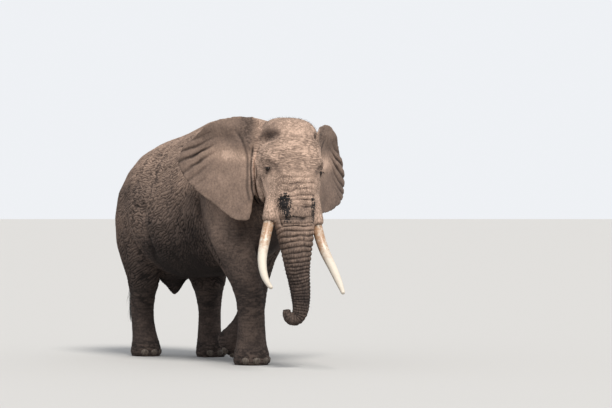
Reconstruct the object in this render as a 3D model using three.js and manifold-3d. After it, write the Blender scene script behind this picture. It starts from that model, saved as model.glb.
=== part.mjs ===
// A life-size African bush elephant bull in mid-walk, in millimetres, +Z up. The animal faces -Y and its
// left side is +X. The right forefoot and both hind feet stand flat, and the left forefoot swings forward,
// folded back at the wrist and just clear of the floor. The head is turned and tilted to its right.
//
// The flesh is built whole from lofts that run into each other, and is then parted with thin cuts into the
// parts that a person would name. Eyes, tusks and toenails are separate solids set into sockets.
//
// While it is built, the origin is on the floor midway between the shoulders. At the end the group moves
// so that the origin is the bottom centre of the whole model's box.
import * as THREE from 'three';
import { mergeVertices } from 'three/addons/utils/BufferGeometryUtils.js';
import Module from 'manifold-3d';

const wasm = await Module();
wasm.setup();

// ---- driving dimensions -------------------------------------------------------------------------

const GAP = 0.4; // between neighbouring solids
const SHOULDER_HEIGHT = 3330;
const BELLY_HEIGHT = 1110;
const BARREL_HALF_WIDTH = 810;
const HIP_Y = 2050; // behind the shoulders, which are at y = 0
const RIGHT_FOREFOOT = [-320, -330]; // where each planted foot stands
const RIGHT_HINDFOOT = [-320, 2170];
const LEFT_HINDFOOT = [300, 1460];
const FOREFOOT_HALF = 245; // half the width of a sole
const HINDFOOT_HALF = 212;
const NECK_PIVOT = new THREE.Vector3(-70, -640, 2560); // about which the head is turned
const HEAD_TURN = -22; // degrees, to the animal's right
const HEAD_TILT = 4.5; // degrees, the left side lower
const EYE_RADIUS = 27;
const EYE = { side: 352, forward: 672, up: 8 };
const TUSK_BASE_RADIUS = 74;
const EAR_THICKNESS = 34;
const RIGHT_EAR_SWEEP = [42, 39]; // degrees behind straight out, at its top and at its lowest point
const LEFT_EAR_SWEEP = [68, 38];
const TOENAIL = { wide: 56, high: 48, thick: 24 };
const TRUNK_CUTS = { tip: -2200, lower: -1742, middle: -1380, upper: -1020, face: -740 }; // up from the neck
const EAR_CUT = { side: 462, low: -240 }; // the ear's root inside these stays with the head
const LEG_CUTS = { foot: 235, elbow: 1280, foldedElbow: 1130, foreTop: 2330, stifle: 960, hindTop: 2420 };
const TAIL_CUTS = { root: 2200, middle: 1550 };

const SKIN_COLOUR = 0x6b5f57;
const DARK_SKIN_COLOUR = 0x4a413c;
const IVORY_COLOUR = 0xe9dfcd;
const NAIL_COLOUR = 0x8f8071;
const EYE_COLOUR = 0x1a120d;
const HAIR_COLOUR = 0x15110f;

// ---- small tools --------------------------------------------------------------------------------

const v3 = (x, y, z) => new THREE.Vector3(x, y, z);
const radians = THREE.MathUtils.degToRad;

/** A smooth curve through evenly spaced values, read at t from 0 to 1. */
function track(values) {
  const curve = new THREE.SplineCurve(values.map((value, i) => new THREE.Vector2(i, value)));
  return (t) => curve.getPoint(t).y;
}

/** One track for each named number in a list of stations. */
function tracks(stations) {
  const names = Object.keys(stations[0]).filter((name) => name !== 'at');
  return Object.fromEntries(names.map((name) => [name, track(stations.map((s) => s[name]))]));
}

/** A closed solid from rings with equal numbers of points, its two ends closed by fans. */
function loft(rings) {
  const count = rings[0].length;
  const centre = (ring) => ring.reduce((sum, p) => sum.add(p), v3(0, 0, 0)).divideScalar(count);
  const points = [...rings.flat(), centre(rings[0]), centre(rings.at(-1))];
  const faces = [];
  for (let i = 0; i + 1 < rings.length; i++) {
    for (let j = 0; j < count; j++) {
      const a = i * count + j;
      const b = i * count + ((j + 1) % count);
      faces.push(a, b, a + count, b, b + count, a + count);
    }
  }
  const last = (rings.length - 1) * count;
  for (let j = 0; j < count; j++) {
    const k = (j + 1) % count;
    faces.push(k, j, points.length - 2, last + j, last + k, points.length - 1);
  }
  const geometry = new THREE.BufferGeometry().setFromPoints(points).setIndex(faces);
  return solid(geometry);
}

/** A three.js geometry as a manifold-3d solid, turned face out if its faces point in. */
function solid(geometry, matrix = new THREE.Matrix4()) {
  const bare = geometry.clone().applyMatrix4(matrix);
  bare.deleteAttribute('normal');
  bare.deleteAttribute('uv');
  const merged = mergeVertices(bare, 1e-3);
  const triVerts = new Uint32Array(merged.index.array);
  const vertProperties = merged.attributes.position.array;
  const made = new wasm.Manifold(new wasm.Mesh({ numProp: 3, vertProperties, triVerts }));
  if (made.volume() > 0) return made;
  for (let i = 0; i < triVerts.length; i += 3) {
    [triVerts[i + 1], triVerts[i + 2]] = [triVerts[i + 2], triVerts[i + 1]];
  }
  return new wasm.Manifold(new wasm.Mesh({ numProp: 3, vertProperties, triVerts }));
}

/** The three.js geometry of a manifold-3d solid. */
function geometryOf(made) {
  const mesh = made.getMesh();
  const positions = new Float32Array(mesh.numVert * 3);
  for (let i = 0; i < mesh.numVert; i++) {
    const from = i * mesh.numProp;
    positions.set(mesh.vertProperties.subarray(from, from + 3), i * 3);
  }
  const geometry = new THREE.BufferGeometry();
  geometry.setAttribute('position', new THREE.BufferAttribute(positions, 3));
  geometry.setIndex(new THREE.BufferAttribute(mesh.triVerts, 1));
  geometry.computeVertexNormals();
  return geometry;
}

/** A point on a closed rounded section. bulge 2 is an ellipse, and more is squarer. */
function sectionPoint(angle, side, up, down, bulge) {
  const c = Math.cos(angle);
  const s = Math.sin(angle);
  const x = side * Math.sign(c) * Math.abs(c) ** (2 / bulge);
  const y = (s > 0 ? up : down) * Math.sign(s) * Math.abs(s) ** (2 / bulge);
  return [x, y];
}

/**
 * The rings of a limb, trunk, tail or tusk, strung along a smooth spine through the stations. Each station
 * gives the spine's point and the half sizes: side, along the given side direction, and front and back.
 */
function limbRings(stations, { side, segments = 16, steps = 24, bulge = 2 }) {
  const spine = new THREE.CatmullRomCurve3(stations.map((s) => v3(...s.at)), false, 'catmullrom', 0.5);
  const sizes = tracks(stations);
  const across = side.clone();
  const rings = [];
  for (let i = 0; i <= steps; i++) {
    const t = i / steps;
    const along = spine.getTangent(t);
    across.addScaledVector(along, -across.dot(along)).normalize();
    const ahead = v3(0, 0, 0).crossVectors(along, across);
    const centre = spine.getPoint(t);
    const ring = [];
    for (let j = 0; j < segments; j++) {
      const angle = (2 * Math.PI * j) / segments;
      const [x, y] = sectionPoint(angle, sizes.side(t), sizes.front(t), sizes.back(t), bulge);
      ring.push(centre.clone().addScaledVector(across, x).addScaledVector(ahead, y));
    }
    rings.push(ring);
  }
  return rings;
}

const limb = (stations, options) => loft(limbRings(stations, options));

const box = (size, at, rotation = new THREE.Euler()) =>
  solid(
    new THREE.BoxGeometry(...size),
    new THREE.Matrix4().compose(v3(...at), new THREE.Quaternion().setFromEuler(rotation), v3(1, 1, 1)),
  );

/** An ellipsoid with the given half sizes. */
function ellipsoid(sizes, at, rotation = new THREE.Euler(), around = 12, down = 8) {
  const turn = new THREE.Quaternion().setFromEuler(rotation);
  const matrix = new THREE.Matrix4().compose(v3(...at), turn, v3(...sizes));
  return solid(new THREE.SphereGeometry(1, around, down), matrix);
}

// ---- the head's own frame: side is to the animal's left, forward, and up from the neck pivot ---------

const headMatrix = new THREE.Matrix4().compose(
  NECK_PIVOT,
  new THREE.Quaternion().setFromEuler(new THREE.Euler(0, radians(HEAD_TILT), radians(HEAD_TURN), 'ZYX')),
  v3(1, 1, 1),
);
const inHead = (side, forward, up) => v3(side, -forward, up).applyMatrix4(headMatrix);
const headDirection = (side, forward, up) => v3(side, -forward, up).transformDirection(headMatrix);

// ---- torso and neck ------------------------------------------------------------------------------

/** The barrel from the neck to the rump: its top, its low line, and its half width at the widest level. */
function torso() {
  const stations = [
    { y: -700, top: 2990, low: 1950, half: 330, widest: 2500 },
    { y: -480, top: 3150, low: 1690, half: 470, widest: 2350 },
    { y: -180, top: 3270, low: 1480, half: 575, widest: 2180 },
    { y: 150, top: SHOULDER_HEIGHT, low: 1330, half: 655, widest: 2060 },
    { y: 520, top: 3335, low: 1215, half: 735, widest: 1960 },
    { y: 900, top: 3290, low: 1150, half: 790, widest: 1880 },
    { y: 1250, top: 3180, low: BELLY_HEIGHT, half: BARREL_HALF_WIDTH, widest: 1850 },
    { y: 1600, top: 3100, low: 1120, half: 800, widest: 1880 },
    { y: 1920, top: 3040, low: 1230, half: 770, widest: 1960 },
    { y: 2220, top: 2950, low: 1440, half: 690, widest: 2080 },
    { y: 2480, top: 2790, low: 1740, half: 545, widest: 2180 },
    { y: 2660, top: 2600, low: 1980, half: 370, widest: 2260 },
    { y: 2745, top: 2460, low: 2130, half: 210, widest: 2290 },
  ];
  const at = tracks(stations);
  const rings = [];
  const steps = 17;
  const segments = 18;
  for (let i = 0; i <= steps; i++) {
    const t = i / steps;
    const ring = [];
    for (let j = 0; j < segments; j++) {
      const angle = (2 * Math.PI * j) / segments;
      const middle = at.widest(t);
      const bulge = Math.sin(angle) > 0 ? 1.9 : 2.15;
      const [x, z] = sectionPoint(angle, at.half(t), at.top(t) - middle, middle - at.low(t), bulge);
      ring.push(v3(x, at.y(t), middle + z));
    }
    rings.push(ring);
  }
  return loft(rings);
}

/** The neck joins the chest to the back of the skull. */
function neck() {
  const stations = [
    { at: [0, -150, 2420], side: 470, front: 780, back: 620 },
    { at: [-20, -480, 2470], side: 430, front: 690, back: 560 },
    { at: [-75, -760, 2560], side: 390, front: 590, back: 520 },
    { at: [-170, -1000, 2640], side: 350, front: 520, back: 480 },
  ];
  return limb(stations, { side: v3(1, 0, 0), segments: 12, steps: 3 });
}

/** The hanging pointed fold of skin under the rear of a bull's belly. */
function bellyFold() {
  const stations = [
    { at: [0, 1880, 1340], side: 330, front: 480, back: 440 },
    { at: [0, 1920, 1120], side: 230, front: 320, back: 290 },
    { at: [0, 1918, 1045], side: 140, front: 190, back: 190 },
    { at: [0, 1914, 960], side: 85, front: 110, back: 110 },
    { at: [0, 1910, 885], side: 42, front: 52, back: 52 },
    { at: [0, 1908, 862], side: 16, front: 20, back: 20 },
  ];
  return limb(stations, { side: v3(1, 0, 0), segments: 10, steps: 6 });
}

// ---- legs -----------------------------------------------------------------------------------------

const LEG_LOFT = { side: v3(1, 0, 0), segments: 12, steps: 12, bulge: 2.15 };

/** The right foreleg, planted a little ahead of the shoulder. */
function standingForeleg() {
  const [x, y] = RIGHT_FOREFOOT;
  return limb(
    [
      { at: [-330, 60, 2800], side: 190, front: 300, back: 330 },
      { at: [-420, 20, 2420], side: 240, front: 390, back: 450 },
      { at: [-480, 0, 2020], side: 245, front: 400, back: 500 },
      { at: [-470, -95, 1660], side: 240, front: 320, back: 440 },
      { at: [-420, -240, 1330], side: 218, front: 250, back: 275 },
      { at: [-370, -335, 1020], side: 195, front: 205, back: 212 },
      { at: [-345, -350, 760], side: 180, front: 186, back: 184 },
      { at: [-332, -342, 560], side: 182, front: 186, back: 184 },
      { at: [x, -336, 340], side: 188, front: 186, back: 200 },
      { at: [x, y, 150], side: FOREFOOT_HALF - 10, front: 238, back: 234 },
      { at: [x, y, 45], side: FOREFOOT_HALF, front: 252, back: 240 },
      { at: [x, y, -30], side: FOREFOOT_HALF - 30, front: 226, back: 220 },
    ],
    LEG_LOFT,
  );
}

/** The left foreleg in mid-swing: the forearm upright, the wrist folded and the foot bent back. */
function swingingForeleg() {
  return limb(
    [
      { at: [330, 110, 2800], side: 190, front: 300, back: 330 },
      { at: [400, 130, 2420], side: 240, front: 390, back: 430 },
      { at: [445, 215, 2020], side: 245, front: 400, back: 430 },
      { at: [405, 375, 1660], side: 232, front: 310, back: 360 },
      { at: [355, 450, 1330], side: 212, front: 240, back: 265 },
      { at: [325, 470, 1060], side: 192, front: 200, back: 208 },
      { at: [286, 462, 820], side: 180, front: 192, back: 180 },
      { at: [260, 482, 620], side: 184, front: 200, back: 170 },
      { at: [240, 580, 460], side: 186, front: 194, back: 172 },
      { at: [224, 700, 330], side: 212, front: 204, back: 192 },
      { at: [214, 800, 240], side: 238, front: 222, back: 206 },
      { at: [208, 880, 196], side: 214, front: 200, back: 190 },
    ],
    LEG_LOFT,
  );
}

/** A planted hind leg, its knee forward and its hock a little back. */
function hindLeg(s, [x, y]) {
  const reach = y - HIP_Y;
  const hamstring = 415 - reach * 0.25;
  const inward = (share) => s * (Math.abs(x) + (440 - Math.abs(x)) * share);
  return limb(
    [
      { at: [s * 330, HIP_Y + 40, 2560], side: 200, front: 380, back: 380 },
      { at: [s * 400, HIP_Y + 40, 2230], side: 290, front: 520, back: 500 },
      { at: [inward(1), HIP_Y + 20 + reach * 0.12, 1880], side: 290, front: 500, back: 515 },
      { at: [inward(0.95), HIP_Y - 40 + reach * 0.4, 1540], side: 262, front: 400, back: 505 },
      { at: [inward(0.75), HIP_Y - 55 + reach * 0.65, 1240], side: 226, front: 312, back: hamstring },
      { at: [inward(0.5), HIP_Y - 10 + reach * 0.8, 980], side: 188, front: 212, back: 255 - reach * 0.2 },
      { at: [inward(0.3), HIP_Y + 35 + reach * 0.92, 740], side: 162, front: 166, back: 178 },
      { at: [inward(0.15), HIP_Y + 45 + reach, 540], side: 158, front: 160, back: 168 },
      { at: [x, HIP_Y + 35 + reach, 330], side: 162, front: 170, back: 166 },
      { at: [x, y, 150], side: HINDFOOT_HALF - 12, front: 222, back: 202 },
      { at: [x, y, 45], side: HINDFOOT_HALF, front: 240, back: 212 },
      { at: [x, y, -30], side: HINDFOOT_HALF - 28, front: 214, back: 190 },
    ],
    LEG_LOFT,
  );
}

// ---- head -----------------------------------------------------------------------------------------

/**
 * Swellings and hollows of the face, each centred on one place of the skull's side (forward, up) and
 * reaching so far along and up: how much it moves the surface outwards.
 */
const FACE_FORMS = {
  brow: { forward: 640, up: 125, along: 150, high: 70, out: 34 },
  eyeSocket: { forward: 700, up: 0, along: 110, high: 70, out: -14 },
  temple: { forward: 470, up: 390, along: 170, high: 110, out: -62 },
  cheekbone: { forward: 430, up: -40, along: 190, high: 110, out: 22 },
  cheekHollow: { forward: 760, up: -230, along: 120, high: 130, out: -26 },
};

function faceRelief(forward, up) {
  return Object.values(FACE_FORMS).reduce((sum, form) => {
    const a = (forward - form.forward) / form.along;
    const b = (up - form.up) / form.high;
    return sum + form.out * Math.exp(-a * a - b * b);
  }, 0);
}

const HEAD_SEGMENTS = 16;

/** The skull and face, as level sections from the crown down to the root of the trunk. */
function skullRings() {
  const stations = [
    { up: 712, back: 80, front: 460, half: 110, bulge: 2 },
    { up: 680, back: -60, front: 580, half: 250, bulge: 2 },
    { up: 585, back: -130, front: 705, half: 345, bulge: 2.1 },
    { up: 450, back: -170, front: 800, half: 395, bulge: 2.2 },
    { up: 270, back: -170, front: 862, half: 412, bulge: 2.2 },
    { up: 90, back: -130, front: 905, half: 418, bulge: 2.3 },
    { up: -90, back: -40, front: 950, half: 408, bulge: 2.3 },
    { up: -260, back: 110, front: 1000, half: 370, bulge: 2.3 },
    { up: -420, back: 300, front: 1040, half: 325, bulge: 2.2 },
    { up: -560, back: 500, front: 1064, half: 285, bulge: 2.1 },
  ];
  const at = tracks(stations);
  const rings = [];
  const steps = 15;
  for (let i = 0; i <= steps; i++) {
    const t = i / steps;
    const middle = (at.front(t) + at.back(t)) / 2;
    const reach = (at.front(t) - at.back(t)) / 2;
    const ring = [];
    for (let j = 0; j < HEAD_SEGMENTS; j++) {
      const angle = (2 * Math.PI * j) / HEAD_SEGMENTS;
      const [side, forward] = sectionPoint(angle, at.half(t), reach, reach, at.bulge(t));
      const out = Math.cos(angle) * faceRelief(middle + forward, at.up(t));
      ring.push(inHead(side + out, middle + forward, at.up(t)));
    }
    rings.push(ring);
  }
  return rings;
}

/** The fleshy sheath from which a tusk comes. */
function tuskSheath(s) {
  return limb(
    [
      { at: inHead(s * 200, 640, -130).toArray(), side: 120, front: 130, back: 120 },
      { at: inHead(s * 238, 700, -340).toArray(), side: 118, front: 122, back: 116 },
      { at: inHead(s * 276, 752, -510).toArray(), side: 112, front: 112, back: 110 },
      { at: inHead(s * 308, 790, -620).toArray(), side: 104, front: 104, back: 102 },
      { at: inHead(s * 326, 808, -688).toArray(), side: 90, front: 92, back: 88 },
    ],
    { side: headDirection(1, 0, 0), segments: 10, steps: 4 },
  );
}

/** The narrow lower jaw with its pointed, drooping lip. */
function jaw() {
  return limb(
    [
      { at: inHead(0, 120, -60).toArray(), side: 330, front: 200, back: 200 },
      { at: inHead(0, 280, -330).toArray(), side: 290, front: 180, back: 200 },
      { at: inHead(0, 450, -560).toArray(), side: 205, front: 140, back: 160 },
      { at: inHead(0, 536, -718).toArray(), side: 118, front: 86, back: 100 },
      { at: inHead(0, 570, -828).toArray(), side: 70, front: 44, back: 58 },
      { at: inHead(0, 580, -890).toArray(), side: 28, front: 20, back: 24 },
    ],
    { side: headDirection(1, 0, 0), segments: 10, steps: 6 },
  );
}

/** The trunk, from below the tusks' sheaths down to the tip, which curls up to the animal's right. */
function trunkRings() {
  return limbRings(
    [
      { at: inHead(16, 846, -690).toArray(), side: 262, front: 216, back: 220 },
      { at: inHead(40, 866, -880).toArray(), side: 232, front: 198, back: 190 },
      { at: inHead(64, 872, -1090).toArray(), side: 191, front: 178, back: 168 },
      { at: inHead(94, 874, -1290).toArray(), side: 158, front: 156, back: 148 },
      { at: inHead(132, 874, -1460).toArray(), side: 138, front: 138, back: 132 },
      { at: inHead(160, 873, -1620).toArray(), side: 124, front: 124, back: 120 },
      { at: inHead(172, 870, -1760).toArray(), side: 108, front: 110, back: 106 },
      { at: inHead(156, 866, -1866).toArray(), side: 92, front: 92, back: 90 },
      { at: inHead(104, 858, -1922).toArray(), side: 80, front: 80, back: 78 },
      { at: inHead(40, 846, -1910).toArray(), side: 70, front: 70, back: 68 },
      { at: inHead(4, 836, -1852).toArray(), side: 60, front: 60, back: 58 },
      { at: inHead(-4, 830, -1795).toArray(), side: 48, front: 50, back: 48 },
    ],
    { side: headDirection(1, 0, 0), segments: HEAD_SEGMENTS, steps: 18 },
  );
}

const skullAndTrunk = () => loft([...skullRings(), ...trunkRings()]);

/** A tusk, down and forward from its socket, bowed out and then in at the tip. */
function tusk(s, grow = 0) {
  const round = (thinner) => {
    const radius = TUSK_BASE_RADIUS - thinner + grow;
    return { side: radius, front: radius, back: radius };
  };
  return limb(
    [
      { at: inHead(s * 286, 756, -520 + 2 * grow).toArray(), ...round(4) },
      { at: inHead(s * 330, 812, -707).toArray(), ...round(0) },
      { at: inHead(s * 383, 893, -920).toArray(), ...round(2) },
      { at: inHead(s * 434, 1017, -1078).toArray(), ...round(7) },
      { at: inHead(s * 473, 1167, -1211).toArray(), ...round(13) },
      { at: inHead(s * 492, 1350, -1343).toArray(), ...round(21) },
      { at: inHead(s * 492, 1538, -1447).toArray(), ...round(34) },
      { at: inHead(s * 474, 1712, -1520).toArray(), ...round(52) },
      { at: inHead(s * 468, 1752, -1534).toArray(), ...round(64) },
    ],
    { side: headDirection(1, 0, 0), segments: 9, steps: 10 },
  );
}

const eyeAt = (s) => inHead(s * EYE.side, EYE.forward, EYE.up).toArray();
const eye = (s, grow = 0) => ellipsoid(Array(3).fill(EYE_RADIUS + grow), eyeAt(s), undefined, 9, 6);

// ---- ears -----------------------------------------------------------------------------------------

/** How far each ear reaches from its root, at even angles from near its top to its lowest point. */
const RIGHT_EAR_REACH = track([600, 655, 765, 890, 1035, 1190, 1075, 895, 832, 838, 780]);
const LEFT_EAR_REACH = track([480, 590, 790, 955, 1105, 1225, 1125, 890, 735, 660, 600]);
const EAR_TOP_ANGLE = 86;
const EAR_LOW_ANGLE = -86;
const EAR_ROOT = { side: 385, forward: 235, up: 90, top: 330, low: -210 };

const sweptAt = (sweep, turn) => sweep[0] + (sweep[1] - sweep[0]) * turn;

/** A point of an ear: turn from 0 at the top to 1 at the bottom, out from 0 at the root to 1. */
function earPoint(s, sweep, reaches, turn, out) {
  const angle = radians(EAR_TOP_ANGLE + (EAR_LOW_ANGLE - EAR_TOP_ANGLE) * turn);
  const reach = reaches(turn);
  // The root is a line down the side of the head, and the ear fans out from it.
  const rootUp = EAR_ROOT.top + (EAR_ROOT.low - EAR_ROOT.top) * turn;
  const away = reach * Math.cos(angle) * out;
  const up = rootUp * (1 - out) + reach * Math.sin(angle) * out;
  // It leaves the head straight out, and bends back within the first third.
  const bend = radians(sweptAt(sweep, turn)) * Math.min(1, 0.45 + away / 500);
  const ripple = 26 * out * out * Math.sin(turn * 19 + out * 2) * Math.cos(angle);
  const lobe = 120 * Math.max(0, turn - 0.55) * out;
  const side = EAR_ROOT.side - 30 * (1 - turn) + away * Math.cos(bend) + ripple * Math.sin(bend);
  const forward = EAR_ROOT.forward - away * Math.sin(bend) + ripple * Math.cos(bend) + lobe;
  return inHead(s * side, forward, EAR_ROOT.up + up);
}

/** An ear: a rippled sheet, thinner towards its margin. */
function ear(s, sweep, reaches) {
  const turns = 15;
  const outs = 4;
  const point = (i, j) => earPoint(s, sweep, reaches, i / turns, j / outs);
  const front = [];
  const rear = [];
  for (let i = 0; i <= turns; i++) {
    const swept = radians(sweptAt(sweep, i / turns));
    const facing = headDirection(s * Math.sin(swept), Math.cos(swept), 0);
    for (let j = 0; j <= outs; j++) {
      const p = point(i, j);
      const half = EAR_THICKNESS * (1 - 0.55 * (j / outs)) * 0.5;
      front.push(p.clone().addScaledVector(facing, half));
      rear.push(p.clone().addScaledVector(facing, -half));
    }
  }
  const row = outs + 1;
  const shift = front.length;
  const faces = [];
  const quad = (a, b, c, d) => faces.push(a, b, c, a, c, d);
  for (let i = 0; i < turns; i++) {
    for (let j = 0; j < outs; j++) {
      const a = i * row + j;
      quad(a, a + 1, a + row + 1, a + row);
      quad(shift + a, shift + a + row, shift + a + row + 1, shift + a + 1);
    }
    const root = i * row;
    const rim = root + outs;
    quad(root, root + row, shift + root + row, shift + root);
    quad(rim, shift + rim, shift + rim + row, rim + row);
  }
  for (let j = 0; j < outs; j++) {
    const low = turns * row + j;
    quad(j, shift + j, shift + j + 1, j + 1);
    quad(low, low + 1, shift + low + 1, shift + low);
  }
  return solid(new THREE.BufferGeometry().setFromPoints([...front, ...rear]).setIndex(faces));
}

// ---- tail -----------------------------------------------------------------------------------------

function tail() {
  return limb(
    [
      { at: [0, 2560, 2600], side: 120, front: 110, back: 110 },
      { at: [0, 2740, 2430], side: 82, front: 84, back: 74 },
      { at: [-10, 2845, 2120], side: 56, front: 58, back: 52 },
      { at: [-30, 2880, 1720], side: 38, front: 40, back: 38 },
      { at: [-50, 2880, 1330], side: 28, front: 28, back: 28 },
      { at: [-62, 2866, 1010], side: 23, front: 23, back: 23 },
      { at: [-66, 2858, 880], side: 17, front: 17, back: 17 },
    ],
    { side: v3(1, 0, 0), segments: 8, steps: 10 },
  );
}

/** The brush of wiry hair at the tail's end, as one tapering solid. */
function tailTuft(grow = 0) {
  const size = (side, deep) => ({ side: side + grow, front: deep + grow, back: deep + grow });
  return limb(
    [
      { at: [-64, 2862, 980 + grow], ...size(30, 32) },
      { at: [-67, 2860, 850], ...size(38, 52) },
      { at: [-73, 2854, 690], ...size(34, 58) },
      { at: [-79, 2850, 540], ...size(22, 36) },
      { at: [-84, 2850, 440 - grow], ...size(7, 9) },
    ],
    { side: v3(1, 0, 0), segments: 8, steps: 6 },
  );
}

// ---- toenails -------------------------------------------------------------------------------------

/** Where each foot's nails sit: the foot's centre, its half sizes there, and the nails' angles. */
const FEET = {
  foreleg_right: { centre: RIGHT_FOREFOOT, side: 240, front: 246, angles: [-58, -20, 18, 54] },
  hindleg_right: { centre: RIGHT_HINDFOOT, side: 208, front: 232, angles: [-40, 0, 40] },
  hindleg_left: { centre: LEFT_HINDFOOT, side: 208, front: 232, angles: [-40, 0, 40] },
};

function standingNail({ centre: [x, y], side, front }, degrees, grow) {
  const a = radians(degrees);
  const at = [x + side * Math.sin(a), y - front * Math.cos(a), TOENAIL.high + 12];
  const sizes = [TOENAIL.wide + grow, TOENAIL.thick + grow, TOENAIL.high + grow];
  return ellipsoid(sizes, at, new THREE.Euler(radians(12), 0, a, 'ZYX'), 6, 4);
}

/** The folded forefoot's end, its nails' angles, and the direction in which it points. */
const FOLDED_FOOT = { at: v3(212, 812, 232), side: 232, front: 212, angles: [-54, -18, 20, 58] };
const FOLDED_DIRECTION = v3(-0.02, 0.87, -0.49).normalize();

function foldedNail(degrees, grow) {
  const a = radians(degrees);
  const left = v3(1, 0, 0).addScaledVector(FOLDED_DIRECTION, -FOLDED_DIRECTION.x).normalize();
  const front = v3(0, 0, 0).crossVectors(FOLDED_DIRECTION, left);
  const outward = left.clone().multiplyScalar(Math.sin(a)).addScaledVector(front, Math.cos(a));
  const at = FOLDED_FOOT.at.clone().addScaledVector(left, FOLDED_FOOT.side * Math.sin(a));
  at.addScaledVector(front, FOLDED_FOOT.front * Math.cos(a));
  const across = v3(0, 0, 0).crossVectors(outward, FOLDED_DIRECTION);
  const sizes = [TOENAIL.wide + grow, TOENAIL.thick + grow, TOENAIL.high + grow];
  const place = new THREE.Matrix4().makeBasis(across, outward, FOLDED_DIRECTION);
  return solid(new THREE.SphereGeometry(1, 6, 4), place.scale(v3(...sizes)).setPosition(at));
}

// ---- the whole flesh, and its parting --------------------------------------------------------------

const FLOOR = box([9000, 9000, 2000], [0, 0, -1000]);
const LARGE = 4000;
const noTurn = new THREE.Euler();

/** A block that can be grown on all sides, in the body's frame or the head's. */
const block = (size, at, turn) => (grow = 0) => box(size.map((v) => v + 2 * grow), at, turn);
const headBlock = (low, high, turn = noTurn, pivot = [0, 0, 0]) => (grow = 0) => {
  const size = high.map((v, i) => v - low[i] + 2 * grow);
  const [side, forward, up] = high.map((v, i) => (v + low[i]) / 2);
  const place = new THREE.Matrix4().makeRotationFromEuler(turn);
  place.setPosition(pivot[0], -pivot[1], pivot[2]).premultiply(headMatrix);
  place.multiply(new THREE.Matrix4().makeTranslation(side, -forward, up));
  return solid(new THREE.BoxGeometry(...size), place);
};
/** A block between two corners of the body's frame. */
const between = (low, high, turn) =>
  block(high.map((v, i) => v - low[i]), high.map((v, i) => (v + low[i]) / 2), turn);

const union = (solids) => solids.reduce((sum, next) => sum.add(next));
const sides = { right: -1, left: 1 };

const group = new THREE.Group();
const MATERIALS = {
  skin: { color: SKIN_COLOUR, roughness: 0.9 },
  dark: { color: DARK_SKIN_COLOUR, roughness: 0.9 },
  ivory: { color: IVORY_COLOUR, roughness: 0.45 },
  nail: { color: NAIL_COLOUR, roughness: 0.6 },
  eye: { color: EYE_COLOUR, roughness: 0.12 },
  hair: { color: HAIR_COLOUR, roughness: 0.7 },
};

function addNode(name, made, look) {
  const material = new THREE.MeshStandardMaterial({ ...MATERIALS[look], metalness: 0 });
  const mesh = new THREE.Mesh(geometryOf(made), material);
  mesh.name = name;
  group.add(mesh);
}

/** An ear in two: the free part, and the root that stays with the head. */
function partedEar(s, sweep, reaches) {
  const whole = ear(s, sweep, reaches);
  const [from, to] = s < 0 ? [-LARGE, -EAR_CUT.side] : [EAR_CUT.side, LARGE];
  const beside = headBlock([from, -LARGE, -LARGE], [to, LARGE, LARGE]);
  const below = headBlock([-LARGE, -LARGE, -LARGE], [LARGE, LARGE, EAR_CUT.low]);
  const outer = (grow = 0) => beside(grow).add(below(grow));
  return { free: whole.intersect(outer()), root: whole.subtract(outer(GAP)) };
}

const ears = {
  right: partedEar(-1, RIGHT_EAR_SWEEP, RIGHT_EAR_REACH),
  left: partedEar(1, LEFT_EAR_SWEEP, LEFT_EAR_REACH),
};
const wholeTail = tail();
const belowLevel = (z) => between([-LARGE, -LARGE, -LARGE], [LARGE, LARGE, z]);
const belowTailRoot = belowLevel(TAIL_CUTS.root);

const nails = Object.entries(FEET).flatMap(([leg, foot]) =>
  foot.angles.map((degrees, i) => ({
    name: `nail_${leg}_${i + 1}`,
    made: (grow) => standingNail(foot, degrees, grow),
  })),
);
FOLDED_FOOT.angles.forEach((degrees, i) => {
  nails.push({ name: `nail_foreleg_left_${i + 1}`, made: (grow) => foldedNail(degrees, grow) });
});

let flesh = union([
  torso(),
  neck(),
  bellyFold(),
  standingForeleg(),
  swingingForeleg(),
  hindLeg(-1, RIGHT_HINDFOOT),
  hindLeg(1, LEFT_HINDFOOT),
  wholeTail.subtract(belowTailRoot(GAP)),
  skullAndTrunk(),
  tuskSheath(-1),
  tuskSheath(1),
  jaw(),
  ears.right.root,
  ears.left.root,
]).subtract(FLOOR);
flesh = flesh.subtract(union([
  ...Object.values(sides).flatMap((s) => [eye(s, GAP), tusk(s, 2 * GAP)]),
  ...nails.map((nail) => nail.made(GAP)),
]));

/** What lies in the region becomes a node of its own, a thin gap away from the rest. */
function part(name, look, region) {
  addNode(name, flesh.intersect(region()), look);
  flesh = flesh.subtract(region(GAP));
}

const trunkLevel = (from, to) => headBlock([-420, 618, from], [520, 1300, to]);
part('trunk_tip', 'dark', trunkLevel(TRUNK_CUTS.tip, TRUNK_CUTS.lower));
part('trunk_lower', 'dark', trunkLevel(TRUNK_CUTS.lower, TRUNK_CUTS.middle));
part('trunk_middle', 'dark', trunkLevel(TRUNK_CUTS.middle, TRUNK_CUTS.upper));
part('trunk_upper', 'skin', trunkLevel(TRUNK_CUTS.upper, TRUNK_CUTS.face));
const mouthTurn = new THREE.Euler(radians(43), 0, 0);
part('lower_jaw', 'skin', headBlock([-380, -330, -420], [380, 420, 0], mouthTurn, [0, 444, -584]));
const napeTurn = new THREE.Euler(radians(-6), 0, 0);
const skullAndCheeks = headBlock([-900, -90, -600], [900, 1500, 1200], napeTurn);
const muzzle = headBlock([-900, 215, -1300], [900, 1500, -400], noTurn);
part('head', 'skin', (grow) => skullAndCheeks(grow).add(muzzle(grow)));
part('neck', 'skin', between([-900, -1500, 1500], [900, -430, 3400], new THREE.Euler(radians(-12), 0, 0)));

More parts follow.
